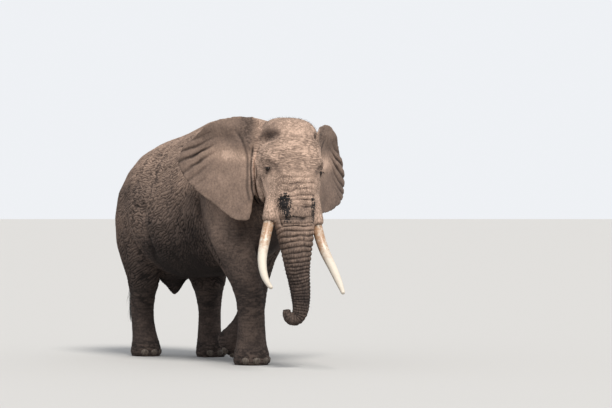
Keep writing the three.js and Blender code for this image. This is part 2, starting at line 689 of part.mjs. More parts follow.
part('foreleg_right_foot', 'dark', between([-800, -800, -100], [-20, 100, LEG_CUTS.foot]));
part('foreleg_right_lower', 'dark', between([-800, -800, LEG_CUTS.foot], [-60, 130, LEG_CUTS.elbow]));
part('foreleg_right_upper', 'skin', between([-1000, -560, LEG_CUTS.elbow], [-170, 600, LEG_CUTS.foreTop]));
const foldedTurn = new THREE.Euler(radians(60), 0, 0);
part('foreleg_left_foot', 'dark', block([700, 900, 400], [220, 880, 195], foldedTurn));
const forearm = between([-200, 150, -100], [800, 760, LEG_CUTS.foldedElbow]);
const pastern = between([-200, 150, -100], [800, 1150, 700]);
part('foreleg_left_lower', 'dark', (grow) => forearm(grow).add(pastern(grow)));
const shoulder = between([200, -480, LEG_CUTS.foldedElbow], [1000, 760, LEG_CUTS.foreTop]);
part('foreleg_left_upper', 'skin', shoulder);
for (const [side, s] of Object.entries(sides)) {
  const span = (inner, outer, [back, front], [low, high]) => {
    const [from, to] = [s * inner, s * outer].sort((a, b) => a - b);
    return between([from, back, low], [to, front, high]);
  };
  const { foot, stifle, hindTop } = LEG_CUTS;
  part(`hindleg_${side}_foot`, 'dark', span(30, 800, [1100, 2700], [-100, foot]));
  part(`hindleg_${side}_lower`, 'dark', span(95, 800, [1100, 2700], [foot, stifle]));
  part(`hindleg_${side}_upper`, 'skin', span(200, 1100, [s < 0 ? 1520 : 1330, 2900], [stifle, hindTop]));
}
addNode('torso', flesh, 'skin');

for (const side of ['right', 'left']) {
  addNode(`ear_${side}`, ears[side].free, 'skin');
  addNode(`eye_${side}`, eye(sides[side]), 'eye');
  addNode(`tusk_${side}`, tusk(sides[side]), 'ivory');
}
const freeTail = wholeTail.intersect(belowTailRoot());
const lowerTail = belowLevel(TAIL_CUTS.middle);
addNode('tail_upper', freeTail.subtract(lowerTail(GAP)), 'skin');
addNode('tail_lower', freeTail.intersect(lowerTail()).subtract(tailTuft(GAP)), 'dark');
addNode('tail_tuft', tailTuft(), 'hair');
for (const nail of nails) addNode(nail.name, nail.made(0).subtract(FLOOR), 'nail');

// The whole model's bottom centre becomes the origin.
const extent = new THREE.Box3().setFromObject(group, true);
const centre = extent.getCenter(v3(0, 0, 0));
group.position.set(-centre.x, -centre.y, -extent.min.z);

export default group;
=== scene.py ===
"""The hide, eyes, tusks, nails and hair of a walking African bush elephant bull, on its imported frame.

One skin is grown over all the flesh solids and then sculpted: first its big forms, such as the temples,
lids and ear folds, and then its wrinkles, each kind where it belongs. Points on the head are given in the
head's own frame, in metres from between the eyes: side (to the animal's left), forward and up.
"""

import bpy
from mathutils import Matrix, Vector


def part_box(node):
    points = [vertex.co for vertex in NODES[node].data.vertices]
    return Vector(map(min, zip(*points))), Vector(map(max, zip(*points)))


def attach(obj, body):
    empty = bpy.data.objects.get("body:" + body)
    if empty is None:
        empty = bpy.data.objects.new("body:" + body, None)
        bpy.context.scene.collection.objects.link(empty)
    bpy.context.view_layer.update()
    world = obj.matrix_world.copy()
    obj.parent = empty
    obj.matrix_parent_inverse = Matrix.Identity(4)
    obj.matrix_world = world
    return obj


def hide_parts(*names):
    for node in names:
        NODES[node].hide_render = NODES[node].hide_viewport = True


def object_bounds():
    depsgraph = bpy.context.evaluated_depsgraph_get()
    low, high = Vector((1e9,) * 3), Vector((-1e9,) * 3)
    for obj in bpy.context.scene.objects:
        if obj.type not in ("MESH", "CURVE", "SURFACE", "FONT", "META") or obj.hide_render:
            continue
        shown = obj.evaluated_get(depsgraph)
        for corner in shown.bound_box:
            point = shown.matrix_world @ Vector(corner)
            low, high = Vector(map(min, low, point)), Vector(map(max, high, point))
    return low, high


bl_info = {
    "name": "Walking elephant",
    "version": (1, 0, 0),
    "blender": (4, 5, 0),
    "location": "3D View > Sidebar > Elephant",
    "description": "Dresses the frame of a walking elephant with hide, eyes, tusks, nails and hair",
    "category": "Object",
}

import math

import bmesh
import bpy
import numpy as np
from bpy.props import FloatProperty, FloatVectorProperty, IntProperty, PointerProperty
from bpy.types import Operator, Panel, PropertyGroup
from mathutils import Matrix, Vector
from mathutils.bvhtree import BVHTree

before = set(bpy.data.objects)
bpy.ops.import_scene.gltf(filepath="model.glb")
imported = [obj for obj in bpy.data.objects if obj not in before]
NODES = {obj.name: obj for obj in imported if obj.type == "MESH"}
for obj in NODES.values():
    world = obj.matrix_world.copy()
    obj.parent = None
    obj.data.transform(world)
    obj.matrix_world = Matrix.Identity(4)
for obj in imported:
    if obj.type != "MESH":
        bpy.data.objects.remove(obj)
CAD_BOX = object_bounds()
SIDES = {"right": -1, "left": 1}
TAU = 2 * math.pi


# ---- places that follow from the frame ----

def middle_of(node):
    low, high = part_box(node)
    return (low + high) / 2


BETWEEN_EYES = (middle_of("eye_left") + middle_of("eye_right")) / 2
HEAD_SIDE = (middle_of("eye_left") - middle_of("eye_right")).normalized()
HEAD_FORWARD = HEAD_SIDE.cross(Vector((0, 0, 1))).normalized()
HEAD_UP = HEAD_FORWARD.cross(HEAD_SIDE)
HEAD_AXES = np.array([HEAD_SIDE, HEAD_FORWARD, HEAD_UP])
EYE_SIDE = (middle_of("eye_left") - middle_of("eye_right")).length / 2
EYE_RADIUS = (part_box("eye_left")[1].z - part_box("eye_left")[0].z) / 2
FLESH = [name for name in NODES if not name.startswith(("eye", "tusk", "nail", "tail_tuft"))]
TRUNK_SPINE = (
    (0.0, 0.14, -0.4), (0.0, 0.19, -0.55), (0.016, 0.174, -0.698), (0.04, 0.194, -0.888),
    (0.064, 0.2, -1.098), (0.094, 0.202, -1.298), (0.132, 0.202, -1.468), (0.16, 0.201, -1.628),
    (0.172, 0.198, -1.768), (0.156, 0.194, -1.874), (0.104, 0.186, -1.93), (0.04, 0.174, -1.918),
    (0.004, 0.164, -1.86), (-0.004, 0.158, -1.803),
)
EAR_ROOT = (0.37, -0.437, 0.09)
EAR_PADDING = 0.005
# How far the skin is made finer and sculpted round each eye, and the opening between the lids.
EYE_REACH = 0.12
LID_HALF_LENGTH = 0.039
LID_RISE = 0.021
LID_DROP = 0.018
LID_SLANT = 0.12
# Loose upright folds between the ear and the cheek: points with side to the left, and radius.
CHEEK_FOLDS = (
    (((0.46, -0.47, 0.16), (0.455, -0.46, -0.05), (0.425, -0.445, -0.20), (0.35, -0.44, -0.34),
      (0.22, -0.42, -0.42)), 0.030),
    (((0.425, -0.38, 0.08), (0.41, -0.36, -0.08), (0.38, -0.35, -0.22), (0.32, -0.35, -0.37),
      (0.20, -0.34, -0.47)), 0.033),
    (((0.385, -0.27, 0.0), (0.375, -0.28, -0.14), (0.35, -0.285, -0.26), (0.30, -0.27, -0.42),
      (0.20, -0.22, -0.54)), 0.036),
)


def eye_axes(s):
    """The eye's own axes in the head's frame: out of the socket, towards its front corner, and up."""
    turn = math.radians(28)
    outward = (s * math.cos(turn), math.sin(turn), 0)
    frontward = (-s * math.sin(turn), math.cos(turn), 0)
    return np.array([outward, frontward, (0, 0, 1)])


def to_head(points):
    return (points - np.array(BETWEEN_EYES)) @ HEAD_AXES.T


def from_head(points):
    return np.asarray(points) @ HEAD_AXES + np.array(BETWEEN_EYES)


# ---- sizes and colours a user would change ----

def colour(name, default, description):
    return FloatVectorProperty(name=name, default=default, description=description, subtype="COLOR",
                               min=0, max=1)


def length(name, default, description):
    return FloatProperty(name=name, default=default, description=description, unit="LENGTH", min=0)


class HideSettings(PropertyGroup):
    grain: length("Mesh grain", 0.0112, "Size of the skin's faces on the body; half of it on the head")
    wrinkles: length("Wrinkle depth", 0.017, "Depth of the creases on the flanks")
    rings: length("Trunk ring depth", 0.02, "Depth of the creases round the trunk")
    # Dust on the face; the same palest stop also paints the highlight on the face's lit ridge and upper
    # lids.
    dust_and_highlight: colour("Dust", (0.76, 0.54, 0.42), "Dry dust on the highest folds of the face")
    pale: colour("Dusty hide", (0.50, 0.35, 0.27), "Dusty skin of the forehead and cheeks")
    light: colour("Pale hide", (0.30, 0.213, 0.168), "Skin of the back and the ears")
    mid: colour("Hide", (0.168, 0.121, 0.099), "Skin of the flanks")
    # The two darkest stops are the hide's own dark skin and also the painted shade under the body.
    dark: colour("Dark hide", (0.078, 0.057, 0.049), "Skin of the legs and lower trunk")
    deep: colour("Darkest hide", (0.030, 0.023, 0.021), "Skin of the belly")
    mud: colour("Wet mud", (0.012, 0.010, 0.010), "Wet patches beside the root of the trunk")


class EyeSettings(PropertyGroup):
    iris: colour("Iris", (0.024, 0.012, 0.006), "Brown of the iris")
    white: colour("Sclera", (0.03, 0.02, 0.016), "The dull brown edge of the eye")


class IvorySettings(PropertyGroup):
    ivory: colour("Ivory", (0.80, 0.72, 0.61), "Clean worn ivory")
    stain: colour("Stain", (0.46, 0.25, 0.13), "Brown stains towards the root")


class NailSettings(PropertyGroup):
    horn: colour("Horn", (0.2, 0.16, 0.13), "Horny nails")


class HairSettings(PropertyGroup):
    hair: colour("Hair", (0.012, 0.010, 0.009), "Coarse black hair")
    tail_hairs: IntProperty(name="Tail hairs", default=420, min=1, description="Hairs in the tail's brush")
    bristles: IntProperty(name="Bristles", default=1500, min=1, description="Short hairs on head and back")


class StageSettings(PropertyGroup):
    distance: length("Camera distance", 33.64, "Level distance from the camera to the model's middle")
    height: length("Camera height", 2.1, "Height of the camera above the floor")
    azimuth: FloatProperty(name="Camera azimuth", default=math.radians(-38), subtype="ANGLE",
                           description="Direction of the view, 0 along +Y")
    aside: length("Camera offset", 0.861, "How far the camera stands to the right of the middle")
    floor: colour("Floor", (0.60, 0.592, 0.58), "Plain pale floor")


# ---- shader maths ----

class Value:
    """A socket in a material's node tree, for maths written as Python expressions."""

    def __init__(self, sheet, socket):
        self.sheet = sheet
        self.socket = socket

    def _math(self, operation, *values):
        return self.sheet.node("ShaderNodeMath", {"operation": operation}, dict(enumerate(values)))

    def __add__(self, other):
        return self._math("ADD", self, other)

    __radd__ = __add__

    def __sub__(self, other):
        return self._math("SUBTRACT", self, other)

    def __rsub__(self, other):
        return self._math("SUBTRACT", other, self)

    def __mul__(self, other):
        return self._math("MULTIPLY", self, other)

    __rmul__ = __mul__

    def clamp(self):
        return self._math("MINIMUM", self._math("MAXIMUM", self, 0.0), 1.0)

    def ramp(self, low, high):
        """0 below low, 1 above high, smooth between."""
        return self.sheet.node("ShaderNodeMapRange", {"interpolation_type": "SMOOTHSTEP"},
                               {"Value": self, "From Min": low, "From Max": high})


class Sheet:
    """One material, made node by node."""

    def __init__(self, name, roughness, **constants):
        self.material = bpy.data.materials.new(name)
        self.material.use_nodes = True
        self.tree = self.material.node_tree
        self.shader = self.tree.nodes["Principled BSDF"]
        self.shader.inputs["Roughness"].default_value = roughness
        for socket, value in constants.items():
            self.shader.inputs[socket.replace("_", " ")].default_value = value

    def node(self, kind, settings=None, inputs=None, output=0):
        made = self.tree.nodes.new(kind)
        for name, value in (settings or {}).items():
            if name == "stops":
                self._stops(made.color_ramp, value)
            else:
                setattr(made, name, value)
        for key, value in (inputs or {}).items():
            self.put(made.inputs[key], value)
        return Value(self, made.outputs[output])

    @staticmethod
    def _stops(ramp, stops):
        while len(ramp.elements) < len(stops):
            ramp.elements.new(1.0)
        for element, (place, shade) in zip(ramp.elements, stops):
            element.position = place
            element.color = (*shade, 1.0)

    def put(self, socket, value):
        if isinstance(value, Value):
            self.tree.links.new(value.socket, socket)
        elif socket.type == "RGBA" and len(value) == 3:
            socket.default_value = (*value, 1.0)
        else:
            socket.default_value = value

    def place(self):
        return self.node("ShaderNodeTexCoord", output="Object")

    def attribute(self, name):
        return self.node("ShaderNodeAttribute", {"attribute_name": name}, output="Fac")

    def noise(self, scale, detail, stretch=None):
        where = self.place()
        if stretch:
            where = self.node("ShaderNodeMapping", None, {"Vector": where, "Scale": stretch})
        return self.node("ShaderNodeTexNoise", None,
                         {"Vector": where, "Scale": scale, "Detail": detail, "Roughness": 0.55})

    def cracks(self, scale, at):
        """Distance to the nearest crack of a cell pattern."""
        return self.node("ShaderNodeTexVoronoi", {"feature": "DISTANCE_TO_EDGE"},
                         {"Vector": at, "Scale": scale}, output="Distance")

    def mix(self, factor, a, b):
        return self.node("ShaderNodeMix", {"data_type": "RGBA"}, {0: factor, 6: a, 7: b}, output=2)

    def bump(self, height, strength, distance):
        return self.node("ShaderNodeBump", None,
                         {"Height": height, "Strength": strength, "Distance": distance})

    def finish(self, **sockets):
        for name, value in sockets.items():
            self.put(self.shader.inputs[name.replace("_", " ")], value)
        return self.material


# ---- small mesh tools ----

def lattice_hash(cells, seed):
    c = cells.view(np.uint32)
    h = c[:, 0] * np.uint32(0x8DA6B343) ^ c[:, 1] * np.uint32(0xD8163841)
    h ^= c[:, 2] * np.uint32(0xCB1AB31F) ^ np.uint32((seed * 0x9E3779B9) & 0xFFFFFFFF)
    h = (h ^ (h >> np.uint32(15))) * np.uint32(0x2C1B3C6D)
    h = (h ^ (h >> np.uint32(12))) * np.uint32(0x297A2D39)
    return h ^ (h >> np.uint32(15))


def noise3(points, seed=0):
    """Smooth gradient noise at points, from about -0.7 to 0.7, one wave to a unit."""
    points = np.asarray(points, np.float32)
    cell = np.floor(points).astype(np.int32)
    inside = points - cell
    ease = inside ** 3 * (inside * (inside * 6 - 15) + 10)
    total = np.zeros(len(points), np.float32)
    for corner in range(8):
        step = np.array([corner & 1, corner >> 1 & 1, corner >> 2 & 1], np.int32)
        h = lattice_hash(np.ascontiguousarray(cell + step), seed)
        away = inside - step
        slope = sum(((h >> np.uint32(10 * k) & np.uint32(1023)) / np.float32(511.5) - 1) * away[:, k]
                    for k in range(3))
        share = np.where(step, ease, 1 - ease).prod(axis=1)
        total += share * slope
    return total


def smoothstep(values, low, high):
    t = np.clip((values - low) / (high - low), 0, 1)
    return t * t * (3 - 2 * t)


def bell(values, middle, width):
    return np.exp(-((values - middle) / width) ** 2)


def curve_points(points, count):
    """A smooth curve through the points, as count even steps."""
    p = np.array(points, float)
    p = np.vstack([2 * p[0] - p[1], p, 2 * p[-1] - p[-2]])
    t = np.linspace(0, len(p) - 3 - 1e-9, count)
    i = t.astype(int)
    f = (t - i)[:, None]
    a, b, c, d = p[i], p[i + 1], p[i + 2], p[i + 3]
    square = (2 * a - 5 * b + 4 * c - d) * f ** 2
    cube = (3 * b - a - 3 * c + d) * f ** 3
    return 0.5 * (2 * b + (c - a) * f + square + cube)


def along_curve(points, curve):
    """For each point: the nearest place on the curve, as distance along it, and how far away it is."""
    leg = np.linalg.norm(np.diff(curve, axis=0), axis=1)
    run = np.concatenate([[0], np.cumsum(leg)])
    best = np.full(len(points), np.inf)
    place = np.zeros(len(points))
    for k in range(len(leg)):
        step = curve[k + 1] - curve[k]
        t = np.clip((points - curve[k]) @ step / leg[k] ** 2, 0, 1)
        gap = np.linalg.norm(points - curve[k] - t[:, None] * step, axis=1)
        nearer = gap < best
        best[nearer] = gap[nearer]
        place[nearer] = (run[k] + t * leg[k])[nearer]
    return place, best


def column(items, attribute, width=1, kind=np.float32):
    """One attribute of a mesh's vertices, edges, corners or faces, as an array."""
    values = np.empty(len(items) * width, kind)
    items.foreach_get(attribute, values)
    return values.reshape(-1, width) if width > 1 else values


def in_scene(name, data):
    made = bpy.data.objects.new(name, data)
    bpy.context.scene.collection.objects.link(made)
    return made


def as_mesh(name, work):
    """A new mesh from a bmesh, which is freed."""
    mesh = bpy.data.meshes.new(name)
    work.to_mesh(mesh)
    work.free()
    return mesh


def merged(node):
    """A CAD solid as a bmesh, with its seams merged."""
    work = bmesh.new()
    work.from_mesh(NODES[node].data)
    bmesh.ops.remove_doubles(work, verts=work.verts, dist=1e-5)
    return work


def new_object(name, mesh, material):
    made = in_scene(name, mesh)
    mesh.materials.clear()
    mesh.materials.append(material)
    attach(made, "root")
    return made


def applied(obj):
    """The object's mesh with its modifiers, as a new mesh; the object is removed."""
    graph = bpy.context.evaluated_depsgraph_get()
    mesh = bpy.data.meshes.new_from_object(obj.evaluated_get(graph))
    bpy.data.objects.remove(obj)
    return mesh


def rounded(mesh, levels):
    """The mesh with its facets rounded."""
    holder = in_scene("scratch", mesh)
    holder.modifiers.new("round", "SUBSURF").levels = levels
    return applied(holder)


# ---- the skin's mesh ----

class Skin:
    """The skin's vertices as arrays, with tools that move them."""

    def __init__(self, mesh):
        self.mesh = mesh
        self.at = column(mesh.vertices, "co", 3).astype(float)
        self.edges = column(mesh.edges, "vertices", 2, np.int32)
        self.ends = np.bincount(self.edges.ravel(), minlength=len(self.at)).astype(float)

    def write(self):
        self.mesh.vertices.foreach_set("co", self.at.astype(np.float32).ravel())
        self.mesh.update()

    def keep(self, name, values):
        """Stores one number for each vertex in the mesh, which a refinement carries over."""
        layer = self.mesh.attributes.get(name) or self.mesh.attributes.new(name, "FLOAT", "POINT")
        layer.data.foreach_set("value", np.asarray(values, np.float32))

    def kept(self, name):
        return column(self.mesh.attributes[name].data, "value").astype(float)

    def normals(self):
        self.write()
        return column(self.mesh.vertex_normals, "vector", 3).astype(float)

    def averaged(self, values, rounds, weight=0.8):
        """Values spread over the mesh; weight may differ from vertex to vertex."""
        values = np.array(values, float)
        columns = values.reshape(len(values), -1)
        a, b = self.edges.T
        weight = np.broadcast_to(weight, len(values))
        for _ in range(rounds):
            for k in range(columns.shape[1]):
                column = columns[:, k]
                mean = np.bincount(a, column[b], len(column)) + np.bincount(b, column[a], len(column))
                columns[:, k] += weight * (mean / self.ends - column)
        return values

    def relax(self, rounds, weight):
        """Smooths away facets, and gives back the girth that smoothing takes."""
        once = self.averaged(self.at, rounds, weight)
        self.at = once + self.averaged(self.at - once, rounds, weight)

    def push(self, amount):
        self.at += self.normals() * np.asarray(amount)[:, None]


def flesh_mesh():
    """All the flesh solids, plugs in the tusks' sockets, the cheeks' folds and the eyes, in one mesh."""
    joined = bmesh.new()
    for name in FLESH:
        part = merged(name)
        if name.startswith("ear"):
            round_the_ear(part)
        add_to(joined, part)
    for side, s in SIDES.items():
        plug = merged(f"tusk_{side}")
        mouth = Vector(from_head((s * 0.31, 0.12, -0.672)))
        cut = bmesh.ops.bisect_plane(plug, geom=plug.verts[:] + plug.edges[:] + plug.faces[:], dist=1e-6,
                                     plane_co=mouth, plane_no=-HEAD_UP, clear_outer=True)
        rim = [e for e in cut["geom_cut"] if isinstance(e, bmesh.types.BMEdge)]
        bmesh.ops.edgeloop_fill(plug, edges=rim)
        bmesh.ops.scale(plug, verts=plug.verts, vec=(1.04, 1.04, 1.0),
                        space=Matrix.Translation(-Vector(np.mean([v.co for v in plug.verts], axis=0))))
        add_to(joined, plug)
        for points, radius in CHEEK_FOLDS:
            course = from_head(curve_points(points, 26) * (s, 1, 1))
            for at, share in zip(course, np.linspace(0, 1, len(course))):
                bead = bmesh.new()
                size = radius * (0.7 + 0.3 * math.sin(math.pi * share) ** 0.5)
                bmesh.ops.create_uvsphere(bead, u_segments=12, v_segments=8, radius=size)
                bmesh.ops.translate(bead, verts=bead.verts, vec=Vector(at))
                add_to(joined, bead)
        ball = bmesh.new()
        bmesh.ops.create_uvsphere(ball, u_segments=16, v_segments=10, radius=EYE_RADIUS + 0.004)
        bmesh.ops.translate(ball, verts=ball.verts, vec=middle_of(f"eye_{side}"))
        add_to(joined, ball)
    return as_mesh("flesh", joined)


def add_to(joined, part):
    scratch = as_mesh("part", part)
    joined.from_mesh(scratch)
    bpy.data.meshes.remove(scratch)


def round_the_ear(part):
    """Rounds the ear's facets, keeps its edges against the head, and pads it for the remesh."""
    crease = part.edges.layers.float.new("crease_edge")
    head = to_head(np.array([v.co for v in part.verts]))
    cut = (np.abs(np.abs(head[:, 0]) - np.abs(head[:, 0]).min()) < 2e-4)
    part.verts.ensure_lookup_table()
    for edge in part.edges:
        a, b = (v.index for v in edge.verts)
        edge[crease] = 1.0 if cut[a] and cut[b] else 0.0
    scratch = bpy.data.meshes.new("ear")
    part.to_mesh(scratch)
    part.clear()
    part.from_mesh(rounded(scratch, 2))
    part.normal_update()
    for vertex in part.verts:
        vertex.co += vertex.normal * EAR_PADDING


def grown_skin(grain):
    holder = in_scene("skin", flesh_mesh())
    remesh = holder.modifiers.new("join", "REMESH")
    remesh.mode = "VOXEL"
    remesh.voxel_size = grain
    return applied(holder)


REGIONS = {
    "trunk": ("trunk_upper", "trunk_middle", "trunk_lower"),
    "tip": ("trunk_tip",),
    "face": ("head", "lower_jaw"),
    "ear": ("ear_right", "ear_left"),
    "neck": ("neck",),
    "torso": ("torso",),
    "thigh": ("foreleg_right_upper", "foreleg_left_upper", "hindleg_right_upper", "hindleg_left_upper"),
    "shin": ("foreleg_right_lower", "foreleg_left_lower", "hindleg_right_lower", "hindleg_left_lower"),
    "foot": ("foreleg_right_foot", "foreleg_left_foot", "hindleg_right_foot", "hindleg_left_foot"),
    "tail": ("tail_upper", "tail_lower"),
}


def region_of_each(points):
    """The index in REGIONS of the flesh solid nearest to each point."""
    vertices, polygons, owner = [], [], []
    for index, names in enumerate(REGIONS.values()):
        for name in names:
            mesh = NODES[name].data
            shift = len(vertices)
            vertices += [v.co.copy() for v in mesh.vertices]
            polygons += [[shift + v for v in p.vertices] for p in mesh.polygons]
            owner += [index] * len(mesh.polygons)
    tree = BVHTree.FromPolygons(vertices, polygons)
    find = tree.find_nearest
    return np.array([owner[find(p)[2]] for p in points.tolist()])


def refined(mesh, chosen):
    """Splits the faces whose vertices are all chosen into four."""
    work = bmesh.new()
    work.from_mesh(mesh)
    work.verts.ensure_lookup_table()
    for vertex, wanted in zip(work.verts, chosen):
        vertex.tag = bool(wanted)
    edges = [e for e in work.edges if e.verts[0].tag and e.verts[1].tag]
    bmesh.ops.subdivide_edges(work, edges=edges, cuts=1, use_grid_fill=True)
    bmesh.ops.triangulate(work, faces=[f for f in work.faces if len(f.verts) > 4])
    work.to_mesh(mesh)
    work.free()
    mesh.update()


def near_eye(head, reach):
    close = np.zeros(len(head), bool)
    for s in SIDES.values():
        close |= np.linalg.norm(head - (s * EYE_SIDE, 0, 0), axis=1) < reach
    return close


# ---- a flat map of the skin ----

def leg_spine(*nodes):
    """Points down the middle of a leg, from its nodes' boxes."""
    boxes = [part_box(node) for node in nodes]
    points = [(boxes[0][0] + boxes[0][1]) / 2 + Vector((0, 0, 0.2))]
    points += [(low + high) / 2 for low, high in boxes[1:]]
    return np.array(points)


def charts():
    """The skin's map in pieces: regions, middle line, front, end radius and place on the map."""
    made = [
        (("torso", "neck"), np.array([(0, -0.9, 2.35), (0, 0.4, 2.2), (0, 1.7, 2.15)]), (0, 0, 1), 0.6,
         (0.0, 0.0, 0.6, 0.55)),
        (("face",), from_head([(0, -0.15, 0.3), (0, -0.05, -0.35)]), HEAD_FORWARD, 0.4,
         (0.6, 0.0, 1.0, 0.37)),
        (("trunk", "tip"), from_head(TRUNK_SPINE[2::2]), HEAD_FORWARD, 0.08,
         (0.6, 0.37, 1.0, 0.55)),
        (("tail",), np.array([(middle_of("tail_upper")), (middle_of("tail_lower"))]), (1, 0, 0), 0.04,
         (0.0, 0.97, 1.0, 1.0)),
    ]
    legs = [(f"{end}leg_{side}", s) for end in ("fore", "hind") for side, s in SIDES.items()]
    for index, (leg, s) in enumerate(legs):
        spine = leg_spine(*(f"{leg}_{part}" for part in ("upper", "lower", "foot")))
        made.append((("thigh", "shin", "foot"), spine, (s, 0, 0), 0.2,
                     (0.25 * index, 0.72, 0.25 * (index + 1), 0.97)))
    return made


def unwrapped(skin, region):
    """Gives the mesh its map: round tubes are cut open along their backs, ears are laid flat."""
    mesh = skin.mesh
    names = list(REGIONS)
    count = len(skin.at)
    chart_of = np.full(count, -1)
    flat = np.zeros((count, 2))
    leg_gap = np.full(count, np.inf)
    laid = charts()
    for index, (regions, spine, front, radius, _) in enumerate(laid):
        mine = np.flatnonzero(np.isin(region, [names.index(name) for name in regions]))
        run, gap, turn = round_a_line(skin.at[mine], spine, np.array(front, float), radius)
        nearer = gap < leg_gap[mine]
        mine = mine[nearer]
        leg_gap[mine] = gap[nearer]
        chart_of[mine] = index
        flat[mine] = np.column_stack([turn[nearer] / TAU + 0.5, run[nearer]])
    places = [chart[4] for chart in laid]
    head = to_head(skin.at)
    facing = skin.normals() @ HEAD_AXES.T
    ears = np.flatnonzero(region == names.index("ear"))
    for s in SIDES.values():
        for side_of_ear in (0, 1):
            mine = ears[(head[ears, 0] * s > 0) & ((facing[ears, 1] > 0) == bool(side_of_ear))]
            chart_of[mine] = len(places)
            out = np.hypot(head[mine, 0] - s * EAR_ROOT[0], head[mine, 1] - EAR_ROOT[1]) / 1.35
            flat[mine] = np.column_stack([out, (head[mine, 2] + 0.85) / 1.6])
            quarter = len(places) - 8
            places.append((0.25 * quarter, 0.55, 0.25 * (quarter + 1), 0.72))
    corners = column(mesh.loops, "vertex_index", kind=np.int32)
    starts = column(mesh.polygons, "loop_start", kind=np.int32)
    sizes = column(mesh.polygons, "loop_total", kind=np.int32)
    first = np.repeat(corners[starts], sizes)
    strayed = chart_of[corners] != chart_of[first]
    spot = np.where(strayed[:, None], flat[first], flat[corners])
    round_one = chart_of[first] < 8
    spot[:, 0] -= np.round(spot[:, 0] - flat[first, 0]) * round_one
    boxes = np.array(places)[chart_of[first]]
    low, high = boxes[:, :2] + 0.004, boxes[:, 2:] - 0.004
    spot = low + (high - low) * np.clip(spot * 0.94 + 0.03, 0, 1)
    layer = mesh.uv_layers.new(name="OFBake")
    layer.data.foreach_set("uv", spot.astype(np.float32).ravel())
    at_vertex = np.zeros((count, 2))
    at_vertex[corners] = spot
    return at_vertex


def round_a_line(points, spine, front, radius):
    """Along a line (0 to 1, round its ends too), distance from it and turn about it, for each point."""
    leg = np.diff(spine, axis=0)
    size = np.linalg.norm(leg, axis=1)
    way = leg / size[:, None]
    run = np.concatenate([[0], np.cumsum(size)])
    best = np.full(len(points), np.inf)
    place, turn = np.zeros(len(points)), np.zeros(len(points))
    for k in range(len(leg)):
        t = (points - spine[k]) @ way[k]
        held = np.clip(t, 0, size[k])
        away = points - spine[k] - held[:, None] * way[k]
        gap = np.linalg.norm(away, axis=1)
        ahead = front - way[k] * (front @ way[k])
        ahead /= np.linalg.norm(ahead)
        across = np.cross(way[k], ahead)
        past = t - held
        level = np.arctan2(past, np.linalg.norm(away - past[:, None] * way[k], axis=1) + 1e-6)
        nearer = gap < best
        best[nearer] = gap[nearer]
        place[nearer] = (run[k] + held + radius * level)[nearer]
        turn[nearer] = np.arctan2(away @ across, away @ ahead)[nearer]
    ends = radius * math.pi / 2
    return (place + ends) / (run[-1] + 2 * ends), best, turn


# ---- forms and wrinkles of the hide ----

# Folds and swellings of the head, the same on both sides: points, width, height (below 0 for a hollow).
# Narrow hollows get painted shade.
HEAD_STROKES = (
    (((0.29, 0.02, 0.36), (0.345, -0.13, 0.305), (0.385, -0.27, 0.23), (0.41, -0.34, 0.10)), 0.05, 0.026),
    (((0.29, -0.04, 0.46), (0.33, -0.17, 0.43), (0.35, -0.30, 0.40)), 0.065, -0.05),
    (((0.37, -0.12, 0.03), (0.36, -0.03, 0.075), (0.31, 0.08, 0.06), (0.28, 0.12, -0.03)), 0.035, -0.022),
    (((0.37, -0.13, 0.13), (0.35, 0.0, 0.15), (0.29, 0.09, 0.13)), 0.04, 0.014),
    (((0.38, 0.035, -0.035), (0.375, -0.01, -0.062), (0.38, -0.055, -0.045)), 0.012, -0.006),
    (((0.34, 0.06, -0.20), (0.32, 0.10, -0.40), (0.31, 0.13, -0.60)), 0.085, 0.012),
    (((0.23, 0.22, -0.48), (0.22, 0.25, -0.6), (0.2, 0.29, -0.72)), 0.022, -0.022),
)
# Upright grooves from the ear's root to the cheek, seen from the front quarter: points (across, up), width,
# depth, and darkness of the painted shade in the groove.
QUARTER = np.array([0.961, 0.277])
CHEEK_GROOVES = (
    (((-0.81, 0.515), (-0.724, 0.374), (-0.64, 0.17), (-0.618, -0.03), (-0.603, -0.27), (-0.551, -0.49)),
     0.024, 0.014, 0.6),
    (((-0.571, 0.33), (-0.58, 0.04), (-0.556, -0.16), (-0.511, -0.36), (-0.404, -0.49)),
     0.012, 0.022, 1.0),
    (((-0.545, 0.16), (-0.497, -0.06), (-0.489, -0.21), (-0.447, -0.36), (-0.389, -0.49)),
     0.010, 0.018, 0.9),
    (((-0.457, -0.07), (-0.42, -0.2), (-0.372, -0.33), (-0.364, -0.43), (-0.385, -0.56)),
     0.014, 0.026, 1.0),
)
# Where the hide is paler or darker, partly painted light and shade: middle, reach along the head's three
# axes, change of tone.
HEAD_TONES = (
    ((0.0, 0.1, 0.45), (0.33, 0.4, 0.2), 0.06),
    ((0.2, 0.1, 0.26), (0.12, 0.15, 0.08), 0.10),
    # Painted shade in the temple hollow.
    ((0.32, -0.14, 0.44), (0.12, 0.18, 0.085), -0.44),
    # Painted highlight on the ridge below the temple.
    ((0.345, -0.13, 0.30), (0.09, 0.2, 0.06), 0.5),
    ((0.41, -0.38, 0.08), (0.05, 0.13, 0.13), 0.4),
    # Painted shade in the orbit round the eye.
    ((0.34, 0.03, 0.02), (0.08, 0.12, 0.06), -0.34),
    # Painted highlight on the upper lid.
    ((0.375, 0.0, 0.038), (0.05, 0.04, 0.010), 0.6),
    ((0.26, 0.14, -0.02), (0.05, 0.06, 0.08), -0.15),
    ((0.33, 0.06, -0.36), (0.1, 0.2, 0.24), 0.26),
    ((0.36, -0.33, -0.25), (0.09, 0.10, 0.2), 0.12),
    # Painted shade on the neck behind the jaw.
    ((0.2, -0.62, -0.5), (0.3, 0.3, 0.28), -0.5),
    ((0.30, 0.13, -0.67), (0.07, 0.1, 0.03), -0.35),
    ((0.0, 0.33, -0.60), (0.21, 0.2, 0.13), -0.30),
)
